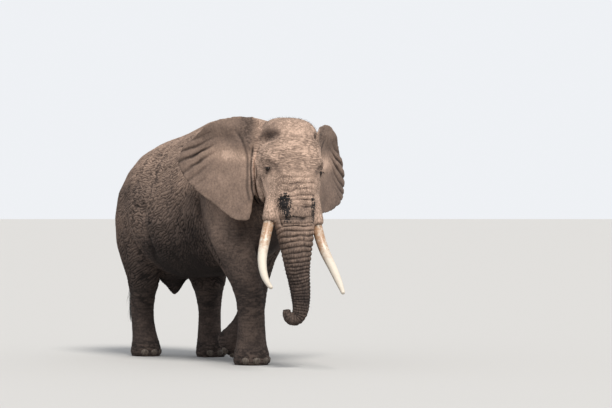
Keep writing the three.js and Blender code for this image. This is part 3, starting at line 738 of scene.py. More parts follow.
# The same for the body, in the frame's own axes, and on the right side only; some spots are painted shade.
BODY_TONES = (
    ((-0.6, -0.32, 1.90), (0.4, 0.20, 0.45), 0.26),
    # Painted shade behind the shoulder's edge.
    ((-0.6, 0.25, 1.70), (0.4, 0.18, 0.5), -0.22),
    ((-0.7, 0.9, 2.2), (0.4, 0.5, 0.35), 0.05),
    # Painted shade where the flank meets the thigh, low down.
    ((-0.6, 1.30, 1.45), (0.4, 0.2, 0.3), -0.18),
    ((-0.45, -0.72, 0.55), (0.2, 0.3, 0.45), 0.07),
    ((-0.3, -0.95, 0.75), (0.1, 0.2, 0.3), 0.16),
)
# Forms of the body, in the frame's own axes: points, width, height, and whether the left side has it too.
# Grooves get painted shade.
BODY_STROKES = (
    (((-0.60, 0.16, 2.35), (-0.67, 0.10, 2.06), (-0.68, -0.03, 1.78), (-0.64, -0.21, 1.46),
      (-0.57, -0.36, 1.2)), 0.045, -0.045, False),
    (((-0.64, -0.10, 2.2), (-0.68, -0.20, 1.9), (-0.66, -0.35, 1.55)), 0.10, 0.025, False),
    (((-0.65, 0.09, 2.16), (-0.66, 0.03, 2.03), (-0.664, -0.09, 1.78), (-0.631, -0.277, 1.459),
      (-0.585, -0.447, 1.233)), 0.018, -0.022, False),
    (((0.60, 0.16, 2.35), (0.67, 0.12, 2.1), (0.68, 0.05, 1.85)), 0.06, -0.03, False),
    (((-0.72, 1.28, 2.1), (-0.72, 1.20, 1.8), (-0.70, 1.13, 1.56), (-0.55, 1.18, 1.4)),
     0.055, -0.035, False),
    (((-0.73, 1.55, 2.1), (-0.73, 1.5, 1.8)), 0.14, 0.02, False),
    (((-0.40, 1.45, 2.83), (-0.55, 1.62, 2.7), (-0.62, 1.75, 2.5)), 0.12, 0.022, True),
    (((0.0, -0.7, 3.2), (0.0, 0.2, 3.15), (0.0, 1.0, 3.05), (0.0, 2.0, 2.75)), 0.05, 0.014, False),
)
# Crease depth at which its painted shade is full.
CREASE_SHADE_DEPTH = 0.007
# How the flank's creases turn: places along the body, and the angle of the creases there in degrees.
FLANK_PLACES = (-0.6, 0.1, 0.35, 0.7, 1.1, 1.45, 1.8, 2.2)
FLANK_ANGLES = (95, 98, 115, 145, 166, 178, 150, 115)
# Where the ear's root passes the cheek: height, and the distance across seen from the front quarter.
ROOT_LEVELS = (-0.49, -0.27, -0.03, 0.17, 0.374, 0.515)
ROOT_ACROSS = (0.551, 0.603, 0.618, 0.64, 0.724, 0.81)


class Hide:
    """Sculpts one skin, and writes the masks that its material reads."""

    def __init__(self, skin, settings):
        self.skin = skin
        self.settings = settings
        self.shares = {name: skin.kept("share_" + name) for name in REGIONS}
        self.crease = np.zeros(len(skin.at))
        self.rest = skin.at.copy()
        self.head = to_head(self.rest)
        self.normal = skin.normals()
        self.facing = self.normal @ HEAD_AXES.T

    def share(self, *names):
        return sum(self.shares[name] for name in names)

    def carve(self, mask, field, depth, shade=1.0):
        """Cuts a wrinkle field (1 in the bottom of a crease, 0 on a ridge) where the mask is, and paints
        shade into its creases, darker as they are deeper.
        """
        some = np.flatnonzero(mask > 0.02)
        if not len(some):
            return
        cut = np.zeros(len(mask))
        cut[some] = field(some) * mask[some]
        self.skin.push((0.3 * mask - cut) * depth)
        self.crease = np.maximum(self.crease, cut * min(1.0, shade * depth / CREASE_SHADE_DEPTH))

    def net(self, spacing, seed, warp, head):
        """Branching creases round plump cells, with the cells' size along three axes."""
        rest = self.head if head else self.rest

        def field(some):
            q = rest[some] / np.array(spacing)
            bend = np.stack([noise3(q * 0.6 + 7 * k, seed + k) for k in range(3)], axis=1)
            return crease_of(noise3(q + bend * warp * 2, seed + 5), 0.3)
        return field

    def flank_net(self, some):
        """Wavy creases: upright behind the shoulder, slanting on the ribs, level before the thigh."""
        p = self.rest[some].copy()
        aim = np.interp(p[:, 1], FLANK_PLACES, FLANK_ANGLES)
        aim += 9 * noise3(p * 1.5, 70)
        inward = np.maximum(0.75 - np.abs(p[:, 0]), 0)
        backward = 2 * smoothstep(p[:, 1], -0.8, 1.6) - 1
        upward = 2 * smoothstep(p[:, 2], 1.6, 2.3) - 1
        p[:, 1] += 0.6 * inward * backward
        p[:, 2] += 0.8 * inward * upward
        p += np.stack([noise3(p * 8 + 7 * k, 71 + k) for k in range(3)], axis=1) * 0.015
        waves = np.zeros((2, len(p)))
        step = 22.5
        for count in range(8):
            gap = (aim - step * count + 90) % 180 - 90
            weight = np.clip(1 - np.abs(gap) / step, 0, 1)
            turned = np.flatnonzero(weight)
            if not len(turned):
                continue
            a = math.radians(step * count)
            at = p[turned]
            along = at @ np.array([0, math.cos(a), math.sin(a)])
            across = at @ np.array([0, -math.sin(a), math.cos(a)])
            wander = noise3(np.column_stack([along / 0.11, across / 0.07, at[:, 0] / 0.12]), 75 + count)
            phase = TAU * (across / 0.088 + 0.7 * wander)
            waves[:, turned] += weight[turned] * np.array([np.sin(phase), np.cos(phase)])
        total = 1.1 * waves[0] / (np.hypot(*waves) + 0.3) + 0.85 * noise3(p / 0.042, 90)
        return crease_of(total, 0.75) * (0.9 + 0.5 * noise3(p * 3, 74))

    def head_forms(self):
        near = np.flatnonzero(self.share("face", "neck", "trunk", "ear") > 0.02)
        amount = np.zeros(len(self.rest))
        for points, width, height in HEAD_STROKES:
            curve = curve_points(points, 24)
            for mirror in (1, -1):
                _, gap = along_curve(self.head[near] * (mirror, 1, 1), curve)
                form = bell(gap, 0, width)
                amount[near] += height * form
                # Narrow hollows get painted shade.
                if height < 0 and width < 0.03:
                    self.crease[near] = np.maximum(self.crease[near], 0.9 * form ** 2)
        self.skin.push(amount * (1 - self.share("ear")))
        self.cheek_grooves(near)

    def cheek_grooves(self, near):
        for mirror in (1, -1):
            h = self.head[near] * (mirror, 1, 1)
            across = h[:, :2] @ QUARTER
            seen = self.facing[near, :2] * (mirror, 1) @ (-QUARTER[1], QUARTER[0])
            side = (h[:, 0] < -0.15) & (h[:, 1] > -0.9) & (h[:, 1] < 0.02)
            some = np.flatnonzero(side & (seen > 0.0) & (across > -0.9))
            amount = np.zeros(len(self.rest))
            for points, width, depth, darkness in CHEEK_GROOVES:
                curve = curve_points([(a, b, 0.0) for a, b in points], 40)
                flat = np.column_stack([across[some], h[some, 2], np.zeros(len(some))])
                run, gap = along_curve(flat, curve)
                ends = smoothstep(run, 0.0, 0.1) * smoothstep(run.max() - run, 0.0, 0.12)
                ends *= smoothstep(seen[some], 0.12, 0.42)
                groove = bell(gap, 0, width) * ends
                amount[near[some]] += depth * (0.45 * bell(gap, 2.8 * width, 1.2 * width) * ends - groove)
                # The groove's darkness is painted shade.
                dark = near[some]
                self.crease[dark] = np.maximum(self.crease[dark], darkness * groove)
            self.skin.push(amount * (1 - 0.6 * self.share("ear")))

    def body_forms(self):
        near = np.flatnonzero(self.share("torso", "thigh", "shin") > 0.02)
        amount = np.zeros(len(self.rest))
        for points, width, height, both in BODY_STROKES:
            for mirror in (1, -1) if both else (1,):
                run, gap = along_curve(self.rest[near] * (mirror, 1, 1), curve_points(points, 24))
                ends = smoothstep(run, 0.0, 0.1) * smoothstep(run.max() - run, 0.0, 0.1)
                form = bell(gap, 0, width) * (ends if width < 0.02 else 1)
                amount[near] += height * form
                # Grooves get painted shade, darker in the narrow ones.
                if height < 0:
                    darkness = 0.85 if width < 0.02 else 0.6
                    self.crease[near] = np.maximum(self.crease[near], darkness * form ** 2)
        for name in NODES:
            if name.startswith("nail"):
                gap = np.linalg.norm(self.rest[near] - np.array(middle_of(name)), axis=1)
                amount[near] += 0.009 * bell(gap, 0.062, 0.02)
        self.skin.push(amount)

    def trunk_rings(self):
        curve = curve_points(TRUNK_SPINE, 60)
        bridge = smoothstep(-self.head[:, 2], 0.0, 0.12) * self.share("face")
        bridge *= smoothstep(self.head[:, 1], 0.1, 0.2)
        bridge *= smoothstep(-np.abs(self.head[:, 0]), -0.26, -0.19)
        mask = np.clip(self.share("trunk", "tip") + bridge, 0, 1)
        steps = np.array([-0.5, 0.0, 0.3, 0.6, 1.0, 1.4, 2.2])
        spacing = np.array([0.085, 0.09, 0.075, 0.062, 0.046, 0.034, 0.027])
        fine = np.linspace(-0.5, 2.2, 400)
        turns = np.concatenate([[0], np.cumsum(np.diff(fine) / np.interp(fine[1:], steps, spacing))])

        def field(some):
            at = self.head[some]
            run, _ = along_curve(at, curve)
            run = run - np.maximum(at[:, 2] + 0.4, 0)
            phase = np.interp(run, fine, turns)
            q = np.column_stack([at[:, 0] * 3.0, at[:, 1] * 3.0, phase * 0.2])
            phase = phase + 0.9 * noise3(q, 21) + 0.35 * noise3(q * 2.5, 22)
            height = np.abs(np.sin(math.pi * phase)) ** 0.75
            depth = 0.85 + 0.6 * noise3(np.column_stack([at[:, 0] * 6, at[:, 1] * 6, phase * 0.8]), 23)
            front = 0.5 + 0.5 * smoothstep(self.facing[some, 1], -0.5, 0.4)
            return (1 - height) * np.clip(depth, 0.2, 1.1) * front
        down = (0.0, 0.5, 0.8, 1.1, 1.6, 1.9)
        taper = np.interp(-self.head[:, 2], down, (0.7, 0.8, 1.0, 0.95, 0.6, 0.45))
        self.carve(mask * taper, field, self.settings.rings)

    def ear_forms(self):
        """Waves, the folds that fan out to the rear edge, the rolled top and the ragged edge, with painted
        shade in the folds, on the rolled top and on the rear edge.
        """
        self.ear_tone_and_shade = np.zeros(len(self.rest))
        for s in SIDES.values():
            mask = self.share("ear") * (self.head[:, 0] * s > 0)
            root = np.array([s * EAR_ROOT[0], EAR_ROOT[1]])
            run = np.array([-0.752, -0.659]) if s < 0 else np.array([0.547, -0.837])
            face = np.array([s * abs(run[1]), abs(run[0]), 0.0]) @ HEAD_AXES
            out_way = np.array([run[0], run[1], 0.0]) @ HEAD_AXES
            out = (self.head[:, :2] - root) @ run
            up = self.head[:, 2] - EAR_ROOT[2]
            free = smoothstep(np.hypot(out, up), 0.2, 0.6) * mask
            q = np.column_stack([out, up, np.full(len(out), 2.0 + s)])
            wave = 0.022 * noise3(q * 3.0, 31) + 0.008 * noise3(q * 8, 32)
            fan = np.arctan2(up - 0.79, out + 0.53)
            turn = 92 * fan + 3.0 * noise3(q * 2.2, 33)
            groove = (0.5 + 0.5 * np.cos(turn)) ** 3
            reach = smoothstep(out, 0.58, 0.9) * bell(fan, -0.5, 0.19)
            reach *= np.clip(0.9 + 1.0 * noise3(q * 3.0, 34), 0.25, 1.2)
            folds = (0.35 - groove) * reach
            wave += 0.024 * folds
            wave += 0.05 * smoothstep(up, 0.25, 0.48) * smoothstep(out, 0.1, 0.5)
            wave += 0.03 * smoothstep(out, 0.85, 1.1) * bell(up, 0.1, 0.25)
            self.skin.at += (free * wave)[:, None] * face
            nick = 0.024 * noise3(q * 6, 35) + 0.009 * noise3(q * 15, 36) - 0.008 * folds
            nick += (0.045 if s < 0 else 0.01) * bell(up, 0.03, 0.2) * smoothstep(out, 0.6, 1.05)
            drop = 0.024 * noise3(q * 6, 37) + 0.009 * noise3(q * 15, 38)
            self.skin.at += (free * nick)[:, None] * out_way
            self.skin.at[:, 2] += free * drop
            # Painted shade in the ear's folds.
            self.crease = np.maximum(self.crease, 0.85 * mask * groove * reach)
            # Painted shade on the rolled top, on the rear edge and low on the left ear.
            rolled_shade = 0.09 * smoothstep(up, 0.17, 0.3) + 0.10 * smoothstep(out, 0.85, 1.05)
            rolled_shade += 0.10 * (s > 0) * smoothstep(-up, -0.1, 0.2)
            patch = 0.42 * bell(out, 0.42, 0.27) * bell(up, 0.08, 0.10)
            patch = patch + 0.10 * bell(out, 0.3, 0.2) * bell(up, -0.1, 0.2)
            self.ear_tone_and_shade += mask * (patch - rolled_shade)

    def wrinkles(self):
        s = self.settings

        def crinkle(mask, spacing, seed, depth, shade=1.0, head=True, warp=0.3):
            self.carve(mask, self.net(spacing, seed=seed, head=head, warp=warp), depth, shade)

        body = self.share("torso", "neck")
        under = smoothstep(-self.normal[:, 2], 0.5, 0.95)
        shoulder = bell(self.rest[:, 1], -0.75, 0.45) * smoothstep(-self.rest[:, 2], -2.4, -1.8)
        self.carve(body * (1 - 0.6 * under) * (1 - 0.75 * shoulder), self.flank_net, s.wrinkles)
        thigh = self.shares["thigh"]
        shoulder_edge = np.interp(self.rest[:, 2], (1.2, 1.46, 1.78, 2.06), (-0.4, -0.25, -0.06, 0.07))
        rear = smoothstep(self.rest[:, 1] - shoulder_edge, 0.0, 0.08)
        rear = np.maximum(rear, smoothstep(self.rest[:, 2], 1.8, 2.4))
        self.carve(thigh * rear, self.flank_net, s.wrinkles * 0.9)
        crinkle(thigh * (1 - rear), (0.09, 0.09, 0.03), 43, s.wrinkles * 0.16, head=False)
        wrist = 0.6 + 0.8 * bell(self.rest[:, 2], 0.85, 0.25)
        crinkle(self.shares["shin"] * wrist, (0.16, 0.16, 0.036), 44, s.wrinkles * 0.25, 0.8, head=False)
        crinkle(self.shares["foot"], (0.10, 0.10, 0.032), 45, s.wrinkles * 0.35, 0.8, head=False)
        face = self.shares["face"] * (1 - self.share("trunk"))
        level = self.head[:, 2]
        crown = face * smoothstep(level, 0.42, 0.6)
        brow = face * smoothstep(level, -0.12, 0.05) - crown
        crinkle(crown, (0.04, 0.04, 0.022), 51, s.wrinkles * 0.2, 0.9, warp=0.15)
        crinkle(brow, (0.09, 0.08, 0.016), 46, s.wrinkles * 0.22, 1.3)
        patchy = np.clip(0.8 + 1.2 * noise3(self.head * 7, 53), 0, 1) * smoothstep(level, -0.62, -0.45)
        cheek = face * smoothstep(-level, -0.02, 0.1) * patchy
        crinkle(cheek, (0.034, 0.034, 0.02), 47, s.wrinkles * 0.2, warp=0.1)
        self.dry = cheek + 0.5 * crown
        sheath = face * smoothstep(-level, 0.36, 0.48)
        crinkle(sheath, (0.02, 0.02, 0.07), 54, s.wrinkles * 0.16, 1.5, warp=0.15)
        line = np.interp(level, ROOT_LEVELS, ROOT_ACROSS)
        across = np.abs(self.head[:, 0]) * QUARTER[0] - self.head[:, 1] * QUARTER[1]
        root = self.share("ear", "neck") * smoothstep(line - across, 0.0, 0.08)
        root = root * smoothstep(level, -0.4, -0.1)
        root *= smoothstep(self.head[:, 1], -1.0, -0.8)
        crinkle(root, (0.05, 0.05, 0.024), 55, s.wrinkles * 0.3, 0.8, warp=0.2)
        crinkle(self.shares["tail"], (0.08, 0.08, 0.018), 48, s.wrinkles * 0.5, head=False)
        crinkle(self.share("trunk", "tip"), (0.022, 0.022, 0.12), 49, s.rings * 0.22)
        crinkle(self.shares["ear"], (0.04, 0.04, 0.05), 50, s.wrinkles * 0.06)

    def lids(self):
        """An almond opening over each eyeball, with thick lids and folds above and below, and painted shade
        round the opening.
        """
        head = to_head(self.skin.at)
        for s in SIDES.values():
            near = np.flatnonzero(np.linalg.norm(head - (s * EYE_SIDE, 0, 0), axis=1) < EYE_REACH)
            frame_of_eye = eye_axes(s)
            local = (head[near] - (s * EYE_SIDE, 0, 0)) @ frame_of_eye.T
            out, x = local[:, 0], local[:, 1]
            y = local[:, 2] - LID_SLANT * x
            r = np.hypot(x, y)
            half = np.clip(1 - (x / LID_HALF_LENGTH) ** 2, 0, 1)
            above = LID_RISE * half ** 0.8
            below = -LID_DROP * half ** 0.9
            past = np.where(half > 0, np.maximum(y - above, below - y), r - 0.03)
            lid = np.sqrt(np.clip((EYE_RADIUS + 0.007) ** 2 - r ** 2, 0.00015, None)) - 0.004
            ring = smoothstep(-r, -0.085, -0.034)
            base = out * (1 - ring) + lid * ring
            for level, depth in ((0.031, 0.004), (0.044, 0.005), (0.061, 0.005)):
                curve = np.hypot(x * 0.7, y)
                base = base - depth * bell(curve, level, 0.0035) * smoothstep(np.abs(y), 0.0, 0.012)
            socket = smoothstep(-past, -0.0012, 0.0015)
            base = base * (1 - socket) - 0.006 * socket
            local[:, 0] = base
            self.skin.at[near] = from_head(local @ frame_of_eye + (s * EYE_SIDE, 0, 0))
            # Painted shade round the opening between the lids.
            self.crease[near] = np.maximum(self.crease[near], bell(past, 0, 0.010))

    def masks(self):
        """Tone (0 dark, 1 pale, with painted light and shade in it), creases (for the painted shade in
        them) and mud, as attributes of the mesh.
        """
        h = self.head
        tone = self.skin.kept("ground_and_shade")
        for middle, reach, change in HEAD_TONES:
            for mirror in (1, -1):
                away = (h * (mirror, 1, 1) - np.array(middle)) / np.array(reach)
                spot = change * np.exp(-(away ** 2).sum(axis=1)) * (0.5 if middle[0] == 0 else 1)
                tone += spot * (1 - self.share("ear"))
        for middle, reach, change in BODY_TONES:
            away = (self.rest - np.array(middle)) / np.array(reach)
            tone += change * np.exp(-(away ** 2).sum(axis=1)) * (1 - self.share("ear"))
        tone += self.ear_tone_and_shade
        tone += 0.10 * noise3(self.rest * 1.7, 61) + 0.10 * noise3(self.rest * 5, 62)
        tone += 0.16 * noise3(self.rest * 14, 64) * self.share("face", "trunk")
        mud = 1.5 * bell(np.linalg.norm((h - (-0.19, 0.30, -0.42)) * (1, 1, 0.85), axis=1), 0, 0.085)
        mud += 0.4 * bell(np.linalg.norm((h - (-0.15, 0.34, -0.60)) * (1.2, 1, 0.6), axis=1), 0, 0.08)
        mud += bell(np.linalg.norm((h - (0.2, 0.27, -0.5)) * (0.9, 1, 0.3), axis=1), 0, 0.055)
        mud += 0.27 * bell(np.linalg.norm((h - (0, 0.36, -0.60)) * (0.6, 0.6, 1), axis=1), 0, 0.12)
        mud *= 0.8 + 0.7 * noise3(self.rest * 16, 63) + 1.8 * noise3(self.rest * 60, 65)
        # Darker round each eye: partly the wet tear stain, partly painted shade of the lids.
        beside = np.column_stack([np.abs(h[:, 0]), h[:, 1:]]) - (0.37, 0.01, -0.03)
        tear_stain_and_lid_shade = bell(np.linalg.norm(beside * (1, 1, 0.7), axis=1), 0, 0.034)
        # Creases are painted darker and the ridges between them paler, as shade and light.
        self.skin.keep("tone", np.clip(tone - 0.42 * tear_stain_and_lid_shade + 0.4 * (0.33 - self.crease), 0, 1.15))
        self.skin.keep("crease", np.clip(self.crease, 0, 1))
        self.skin.keep("dry", np.clip(self.dry, 0, 1))
        self.skin.keep("mud", np.clip(mud, 0, 1))
        for name in [*("share_" + name for name in REGIONS), "ground_and_shade"]:
            self.skin.mesh.attributes.remove(self.skin.mesh.attributes[name])


def ground_tone_and_shade(skin, shares):
    """The hide's tone from place to place, 0 dark and 1 pale, with no edges between regions. The body
    darkens towards the belly, partly wet, muddy hide and partly painted shade, and faces that look down and
    the trunk's back get painted shade.
    """
    z = skin.at[:, 2]
    level = -to_head(skin.at)[:, 2]
    normal = skin.normals()
    # Darker towards the belly: partly wet, muddy hide and partly painted shade.
    body = np.interp(z, (1.2, 1.6, 2.1, 2.6, 3.0), (0.14, 0.27, 0.52, 0.71, 0.82))
    # Painted shade on faces that look down.
    body -= 0.25 * smoothstep(-normal[:, 2], 0.1, 0.8)
    legs = np.interp(z, (0.0, 0.35, 1.0, 1.5, 2.0), (0.27, 0.19, 0.16, 0.27, 0.46))
    legs += 0.16 * smoothstep(skin.at[:, 1], 0.6, 1.0) * bell(z, 1.75, 0.4)
    trunk = np.interp(level, (0.7, 0.95, 1.2, 1.6, 1.9), (0.84, 0.62, 0.45, 0.19, 0.33))
    # Painted shade on the side of the trunk that faces back towards the chest.
    trunk -= 0.2 * smoothstep(-(normal @ HEAD_AXES.T)[:, 1], -0.1, 0.6)
    tones = {"trunk": trunk, "tip": trunk, "face": 0.92, "ear": 0.66, "neck": body, "torso": body,
             "thigh": legs, "shin": legs, "foot": legs, "tail": 0.2}
    return skin.averaged(sum(shares[name] * tone for name, tone in tones.items()), 60, 0.9)


def crease_of(noise, plump):
    """1 along the lines where the noise is 0, falling to 0 on the plump skin between them."""
    return 1 - np.minimum(np.abs(noise) / plump, 1) ** 0.75


def hide_material(s):
    sheet = Sheet("hide", 0.82, Specular_IOR_Level=0.3)
    patches = (sheet.noise(5, 4) - 0.5) * 0.35 + (sheet.noise(38, 3) - 0.5) * 0.5
    tone = (sheet.attribute("tone") + patches + sheet.attribute("dry") * 0.03) * 0.87
    # Stops from dark to pale: the darkest also colour the painted shade under the body, the palest the
    # painted highlights of the face.
    stops = ((0.0, s.deep), (0.22, s.dark), (0.435, s.mid), (0.65, s.light), (0.87, s.pale), (1.0, s.dust_and_highlight))
    shade = sheet.node("ShaderNodeValToRGB", {"stops": stops}, {"Fac": tone})
    crease = sheet.attribute("crease")
    coloured = sheet.node("ShaderNodeTexNoise", None, {"Scale": 12.0}, output=1)
    wander = sheet.mix(0.06, sheet.place(), coloured)
    cells = sheet.cracks(60, wander)
    small = sheet.cracks(150, wander)
    grain = 1 - cells.ramp(0.0, 0.14)
    plates = sheet.cracks(36, wander)
    flaking = (1 - plates.ramp(0.02, 0.22)) * sheet.attribute("dry")
    coarse = sheet.noise(3.5, 3).ramp(0.35, 0.65)
    # Painted shade in the creases, with the darker cracks of the skin's grain and of the dry plates.
    dark = (crease.ramp(0.2, 1.0) * 0.75 + grain * (coarse * 0.16 + 0.03) + flaking * 0.55).clamp()
    shade = sheet.mix(dark, shade, sheet.mix(0.82, shade, (0.012, 0.009, 0.008)))
    mud = sheet.attribute("mud").ramp(0.22, 0.5)
    shade = sheet.mix(mud, shade, s.mud)
    relief = cells.ramp(0.0, 0.22) * (coarse * 0.4 + 0.15) + small.ramp(0.0, 0.2) * 0.3
    relief = relief + sheet.noise(90, 3) * 0.6 - flaking * 1.2
    bump = sheet.bump(relief, 0.7, 0.004)
    return sheet.finish(Base_Color=shade, Normal=bump, Roughness=0.86 - mud * 0.45)


class ELEPHANT_OT_skin(Operator):
    """Grow one skin over all the flesh solids and sculpt its folds and wrinkles"""
    bl_idname = "elephant.skin"
    bl_label = "Skin"

    def execute(self, context):
        settings = context.scene.elephant_hide
        mesh = grown_skin(settings.grain * (1.0))
        skin = Skin(mesh)
        region = region_of_each(skin.at)
        names = list(REGIONS)
        thin = np.isin(region, [names.index(name) for name in ("ear", "tail", "tip")])
        bulk = skin.averaged(1 - thin.astype(float), 6)
        skin.relax(8, 0.7)
        skin.relax(60, 0.75 * bulk)
        shares = {name: skin.averaged((region == index).astype(float), 12)
                  for index, name in enumerate(names)}
        skin.push(-EAR_PADDING * shares["ear"])
        for name in names:
            skin.keep("share_" + name, shares[name])
        skin.keep("ground_and_shade", ground_tone_and_shade(skin, shares))
        skin.write()
        refined(mesh, shares["trunk"] + shares["tip"] + shares["face"] > 0.5)
        skin = Skin(mesh)
        skin.relax(3, 0.6)
        skin.write()
        refined(mesh, near_eye(to_head(skin.at), EYE_REACH))
        skin = Skin(mesh)
        hide = Hide(skin, settings)
        hide.head_forms()
        hide.body_forms()
        hide.ear_forms()
        hide.trunk_rings()
        hide.wrinkles()
        hide.lids()
        hide.masks()
        low, high = (np.array(corner) for corner in CAD_BOX)
        sole = hide.rest[:, 2] < 0.012
        skin.at[sole, 2] = 0.0
        skin.at = np.clip(skin.at, low, high)
        skin.write()
        mesh.shade_smooth()
        unwrapped(skin, region_of_each(hide.rest))
        piece = new_object("hide", mesh, hide_material(settings))
        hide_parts(*FLESH)
        return {"FINISHED"}


# ---- eyes, tusks, nails ----

def node_copy(name):
    """A CAD solid with its seams merged and its facets rounded."""
    mesh = rounded(as_mesh(name, merged(name)), 2)
    mesh.shade_smooth()
    return mesh


def eye_material(s):
    sheet = Sheet("eye", 0.1, Coat_Weight=0.4, Coat_Roughness=0.03, Specular_IOR_Level=0.25)
    ring = sheet.attribute("ring")
    shade = sheet.node("ShaderNodeValToRGB", {"stops": (
        (0.0, (0.004, 0.003, 0.003)), (0.22, (0.004, 0.003, 0.003)), (0.27, s.iris), (0.5, s.iris),
        (0.6, (0.012, 0.008, 0.006)), (0.75, s.white))}, {"Fac": ring})
    return sheet.finish(Base_Color=shade)


class ELEPHANT_OT_eyes(Operator):
    """Make both eyeballs, with pupil, iris and a domed cornea"""
    bl_idname = "elephant.eyes"
    bl_label = "Eyes"

    def execute(self, context):
        finish = eye_material(context.scene.elephant_eye)
        for side, s in SIDES.items():
            gaze = (HEAD_SIDE * s * 0.80 + HEAD_FORWARD * 0.60 - HEAD_UP * 0.10).normalized()
            socket = middle_of(f"eye_{side}")
            ball = bmesh.new()
            bmesh.ops.create_icosphere(ball, subdivisions=5, radius=EYE_RADIUS)
            rings = []
            for vertex in ball.verts:
                angle = vertex.co.angle(gaze)
                rings.append(angle)
                vertex.co *= 1 + 0.05 * max(0.0, 1 - (angle / 0.5) ** 2)
                vertex.co += socket
            mesh = as_mesh(f"eyeball_{side}", ball)
            layer = mesh.attributes.new("ring", "FLOAT", "POINT")
            layer.data.foreach_set("value", rings)
            mesh.shade_smooth()
            piece = new_object(f"eyeball_{side}", mesh, finish)
            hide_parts(f"eye_{side}")
        return {"FINISHED"}


def ivory_material(s):
    sheet = Sheet("ivory", 0.38, Coat_Weight=0.15, Coat_Roughness=0.3)
    root = sheet.attribute("root")
    blotch = sheet.noise(14, 4)
    streak = sheet.noise(26, 4, stretch=(1.0, 0.25, 1.0))
    speck = sheet.noise(55, 3)
    stain = root.ramp(0.3, 0.85) * 0.9 + (blotch - 0.5) * 2.4 * root.ramp(0.25, 0.7) + (streak - 0.55) * 0.9
    stain = stain + (speck - 0.5) * 2.0 * root.ramp(0.3, 0.8)
    shade = sheet.mix(stain.clamp() * 0.9, s.ivory, s.stain)
    shade = sheet.mix(root.ramp(0.9, 1.0), shade, (0.03, 0.02, 0.015))
    return sheet.finish(Base_Color=shade, Normal=sheet.bump(streak + blotch * 0.5, 0.25, 0.003))


def blunted(at, away):
    """Widens and shortens the last part of a tusk."""
    reach = away.max()
    tip = at[away.argmax()]
    start = at[np.abs(away - 0.87 * reach) < 0.03 * reach].mean(axis=0)
    axis = (tip - start) / np.linalg.norm(tip - start)
    run = (at - start) @ axis
    share = np.clip(run / np.linalg.norm(tip - start), 0, 1)
    beside = at - start - run[:, None] * axis
    return at + beside * (0.55 * share ** 1.5)[:, None] - axis * (0.035 * share ** 2)[:, None]


class ELEPHANT_OT_tusks(Operator):
    """Make both tusks, blunted at the tip and stained towards the root"""
    bl_idname = "elephant.tusks"
    bl_label = "Tusks"

    def execute(self, context):
        finish = ivory_material(context.scene.elephant_ivory)
        for side, s in SIDES.items():
            mesh = node_copy(f"tusk_{side}")
            at = to_head(np.array([v.co for v in mesh.vertices]))
            mouth = np.array([s * 0.326, 0.136, -0.696])
            away = np.linalg.norm(at - mouth, axis=1)
            at = blunted(at, away)
            mesh.vertices.foreach_set("co", from_head(at).ravel())
            root = np.where(at[:, 2] > mouth[2] + 0.02, 1.0, 1 - np.clip(away / 0.9, 0, 1))
            layer = mesh.attributes.new("root", "FLOAT", "POINT")
            layer.data.foreach_set("value", root.astype(np.float32))
            piece = new_object(f"ivory_{side}", mesh, finish)
            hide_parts(f"tusk_{side}")
        return {"FINISHED"}


def horn_material(s):
    sheet = Sheet("horn", 0.55)
    streak = sheet.noise(60, 3, stretch=(1.0, 1.0, 0.3))
    shade = sheet.mix(streak.ramp(0.35, 0.7), s.horn, (0.07, 0.052, 0.04))
    return sheet.finish(Base_Color=shade, Normal=sheet.bump(streak, 0.3, 0.002))


class ELEPHANT_OT_nails(Operator):
    """Make the toenails, a fifth larger than their solids and drawn in towards the foot"""
    bl_idname = "elephant.nails"
    bl_label = "Toenails"

    def execute(self, context):
        finish = horn_material(context.scene.elephant_nail)
        for name in NODES:
            if name.startswith("nail"):
                mesh = node_copy(name)
                middle = Matrix.Translation(middle_of(name))
                mesh.transform(middle @ Matrix.Diagonal((1.2, 1.2, 1.2, 1)) @ middle.inverted())
                foot = middle_of(name[5:-2] + "_foot")
                inward = (foot - middle_of(name)) * Vector((1, 1, 0))
                mesh.transform(Matrix.Translation(inward.normalized() * 0.012))
                piece = new_object(name.replace("nail", "horn"), mesh, finish)
                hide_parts(name)
        return {"FINISHED"}


# ---- hair ----

def strands(name, courses, width, places, material):
    """Thin three-sided hairs, one for each course of points, joined as one mesh with a map for baking."""
    vertices, faces, uvs = [], [], []
    for course, place in zip(courses, places):
        first = len(vertices)
        count = len(course)
        lean = course[-1] - course[0]
        across = np.cross(lean, (0.3, 0.5, 0.8))
        across /= np.linalg.norm(across) + 1e-9
        third = np.cross(lean / (np.linalg.norm(lean) + 1e-9), across)
        for k, point in enumerate(course):
            thick = width * (1 - 0.85 * k / (count - 1)) / 2
            for turn in range(3):
                a = turn * TAU / 3
                vertices.append(point + thick * (across * math.cos(a) + third * math.sin(a)))
        for k in range(count - 1):
            for turn in range(3):
                a = first + 3 * k + turn
                b = first + 3 * k + (turn + 1) % 3
                faces.append((a, b, b + 3, a + 3))
                low, high = k / (count - 1), (k + 1) / (count - 1)
                uvs += [(place[0] + 0.001 * (turn + c), place[1] + 0.003 * v)
                        for c, v in ((0, low), (1, low), (1, high), (0, high))]
        end = first + 3 * (count - 1)
        faces.append((end, end + 1, end + 2))
        uvs += [(place[0], place[1] + 0.003)] * 2 + [(place[0] + 0.001, place[1] + 0.003)]
        faces.append((first + 2, first + 1, first))
        uvs += [tuple(place)] * 2 + [(place[0] + 0.001, place[1])]
    mesh = bpy.data.meshes.new(name)
    mesh.from_pydata([tuple(v) for v in vertices], [], faces)
    mesh.validate()
    mesh.shade_smooth()
    layer = mesh.uv_layers.new(name="OFBake")
    layer.data.foreach_set("uv", np.array(uvs, np.float32).ravel())
    return new_object(name, mesh, material)


def hair_material(s):
    sheet = Sheet("hair", 0.5)
    return sheet.finish(Base_Color=sheet.mix(sheet.noise(8, 2), s.hair, (0.04, 0.032, 0.027)))


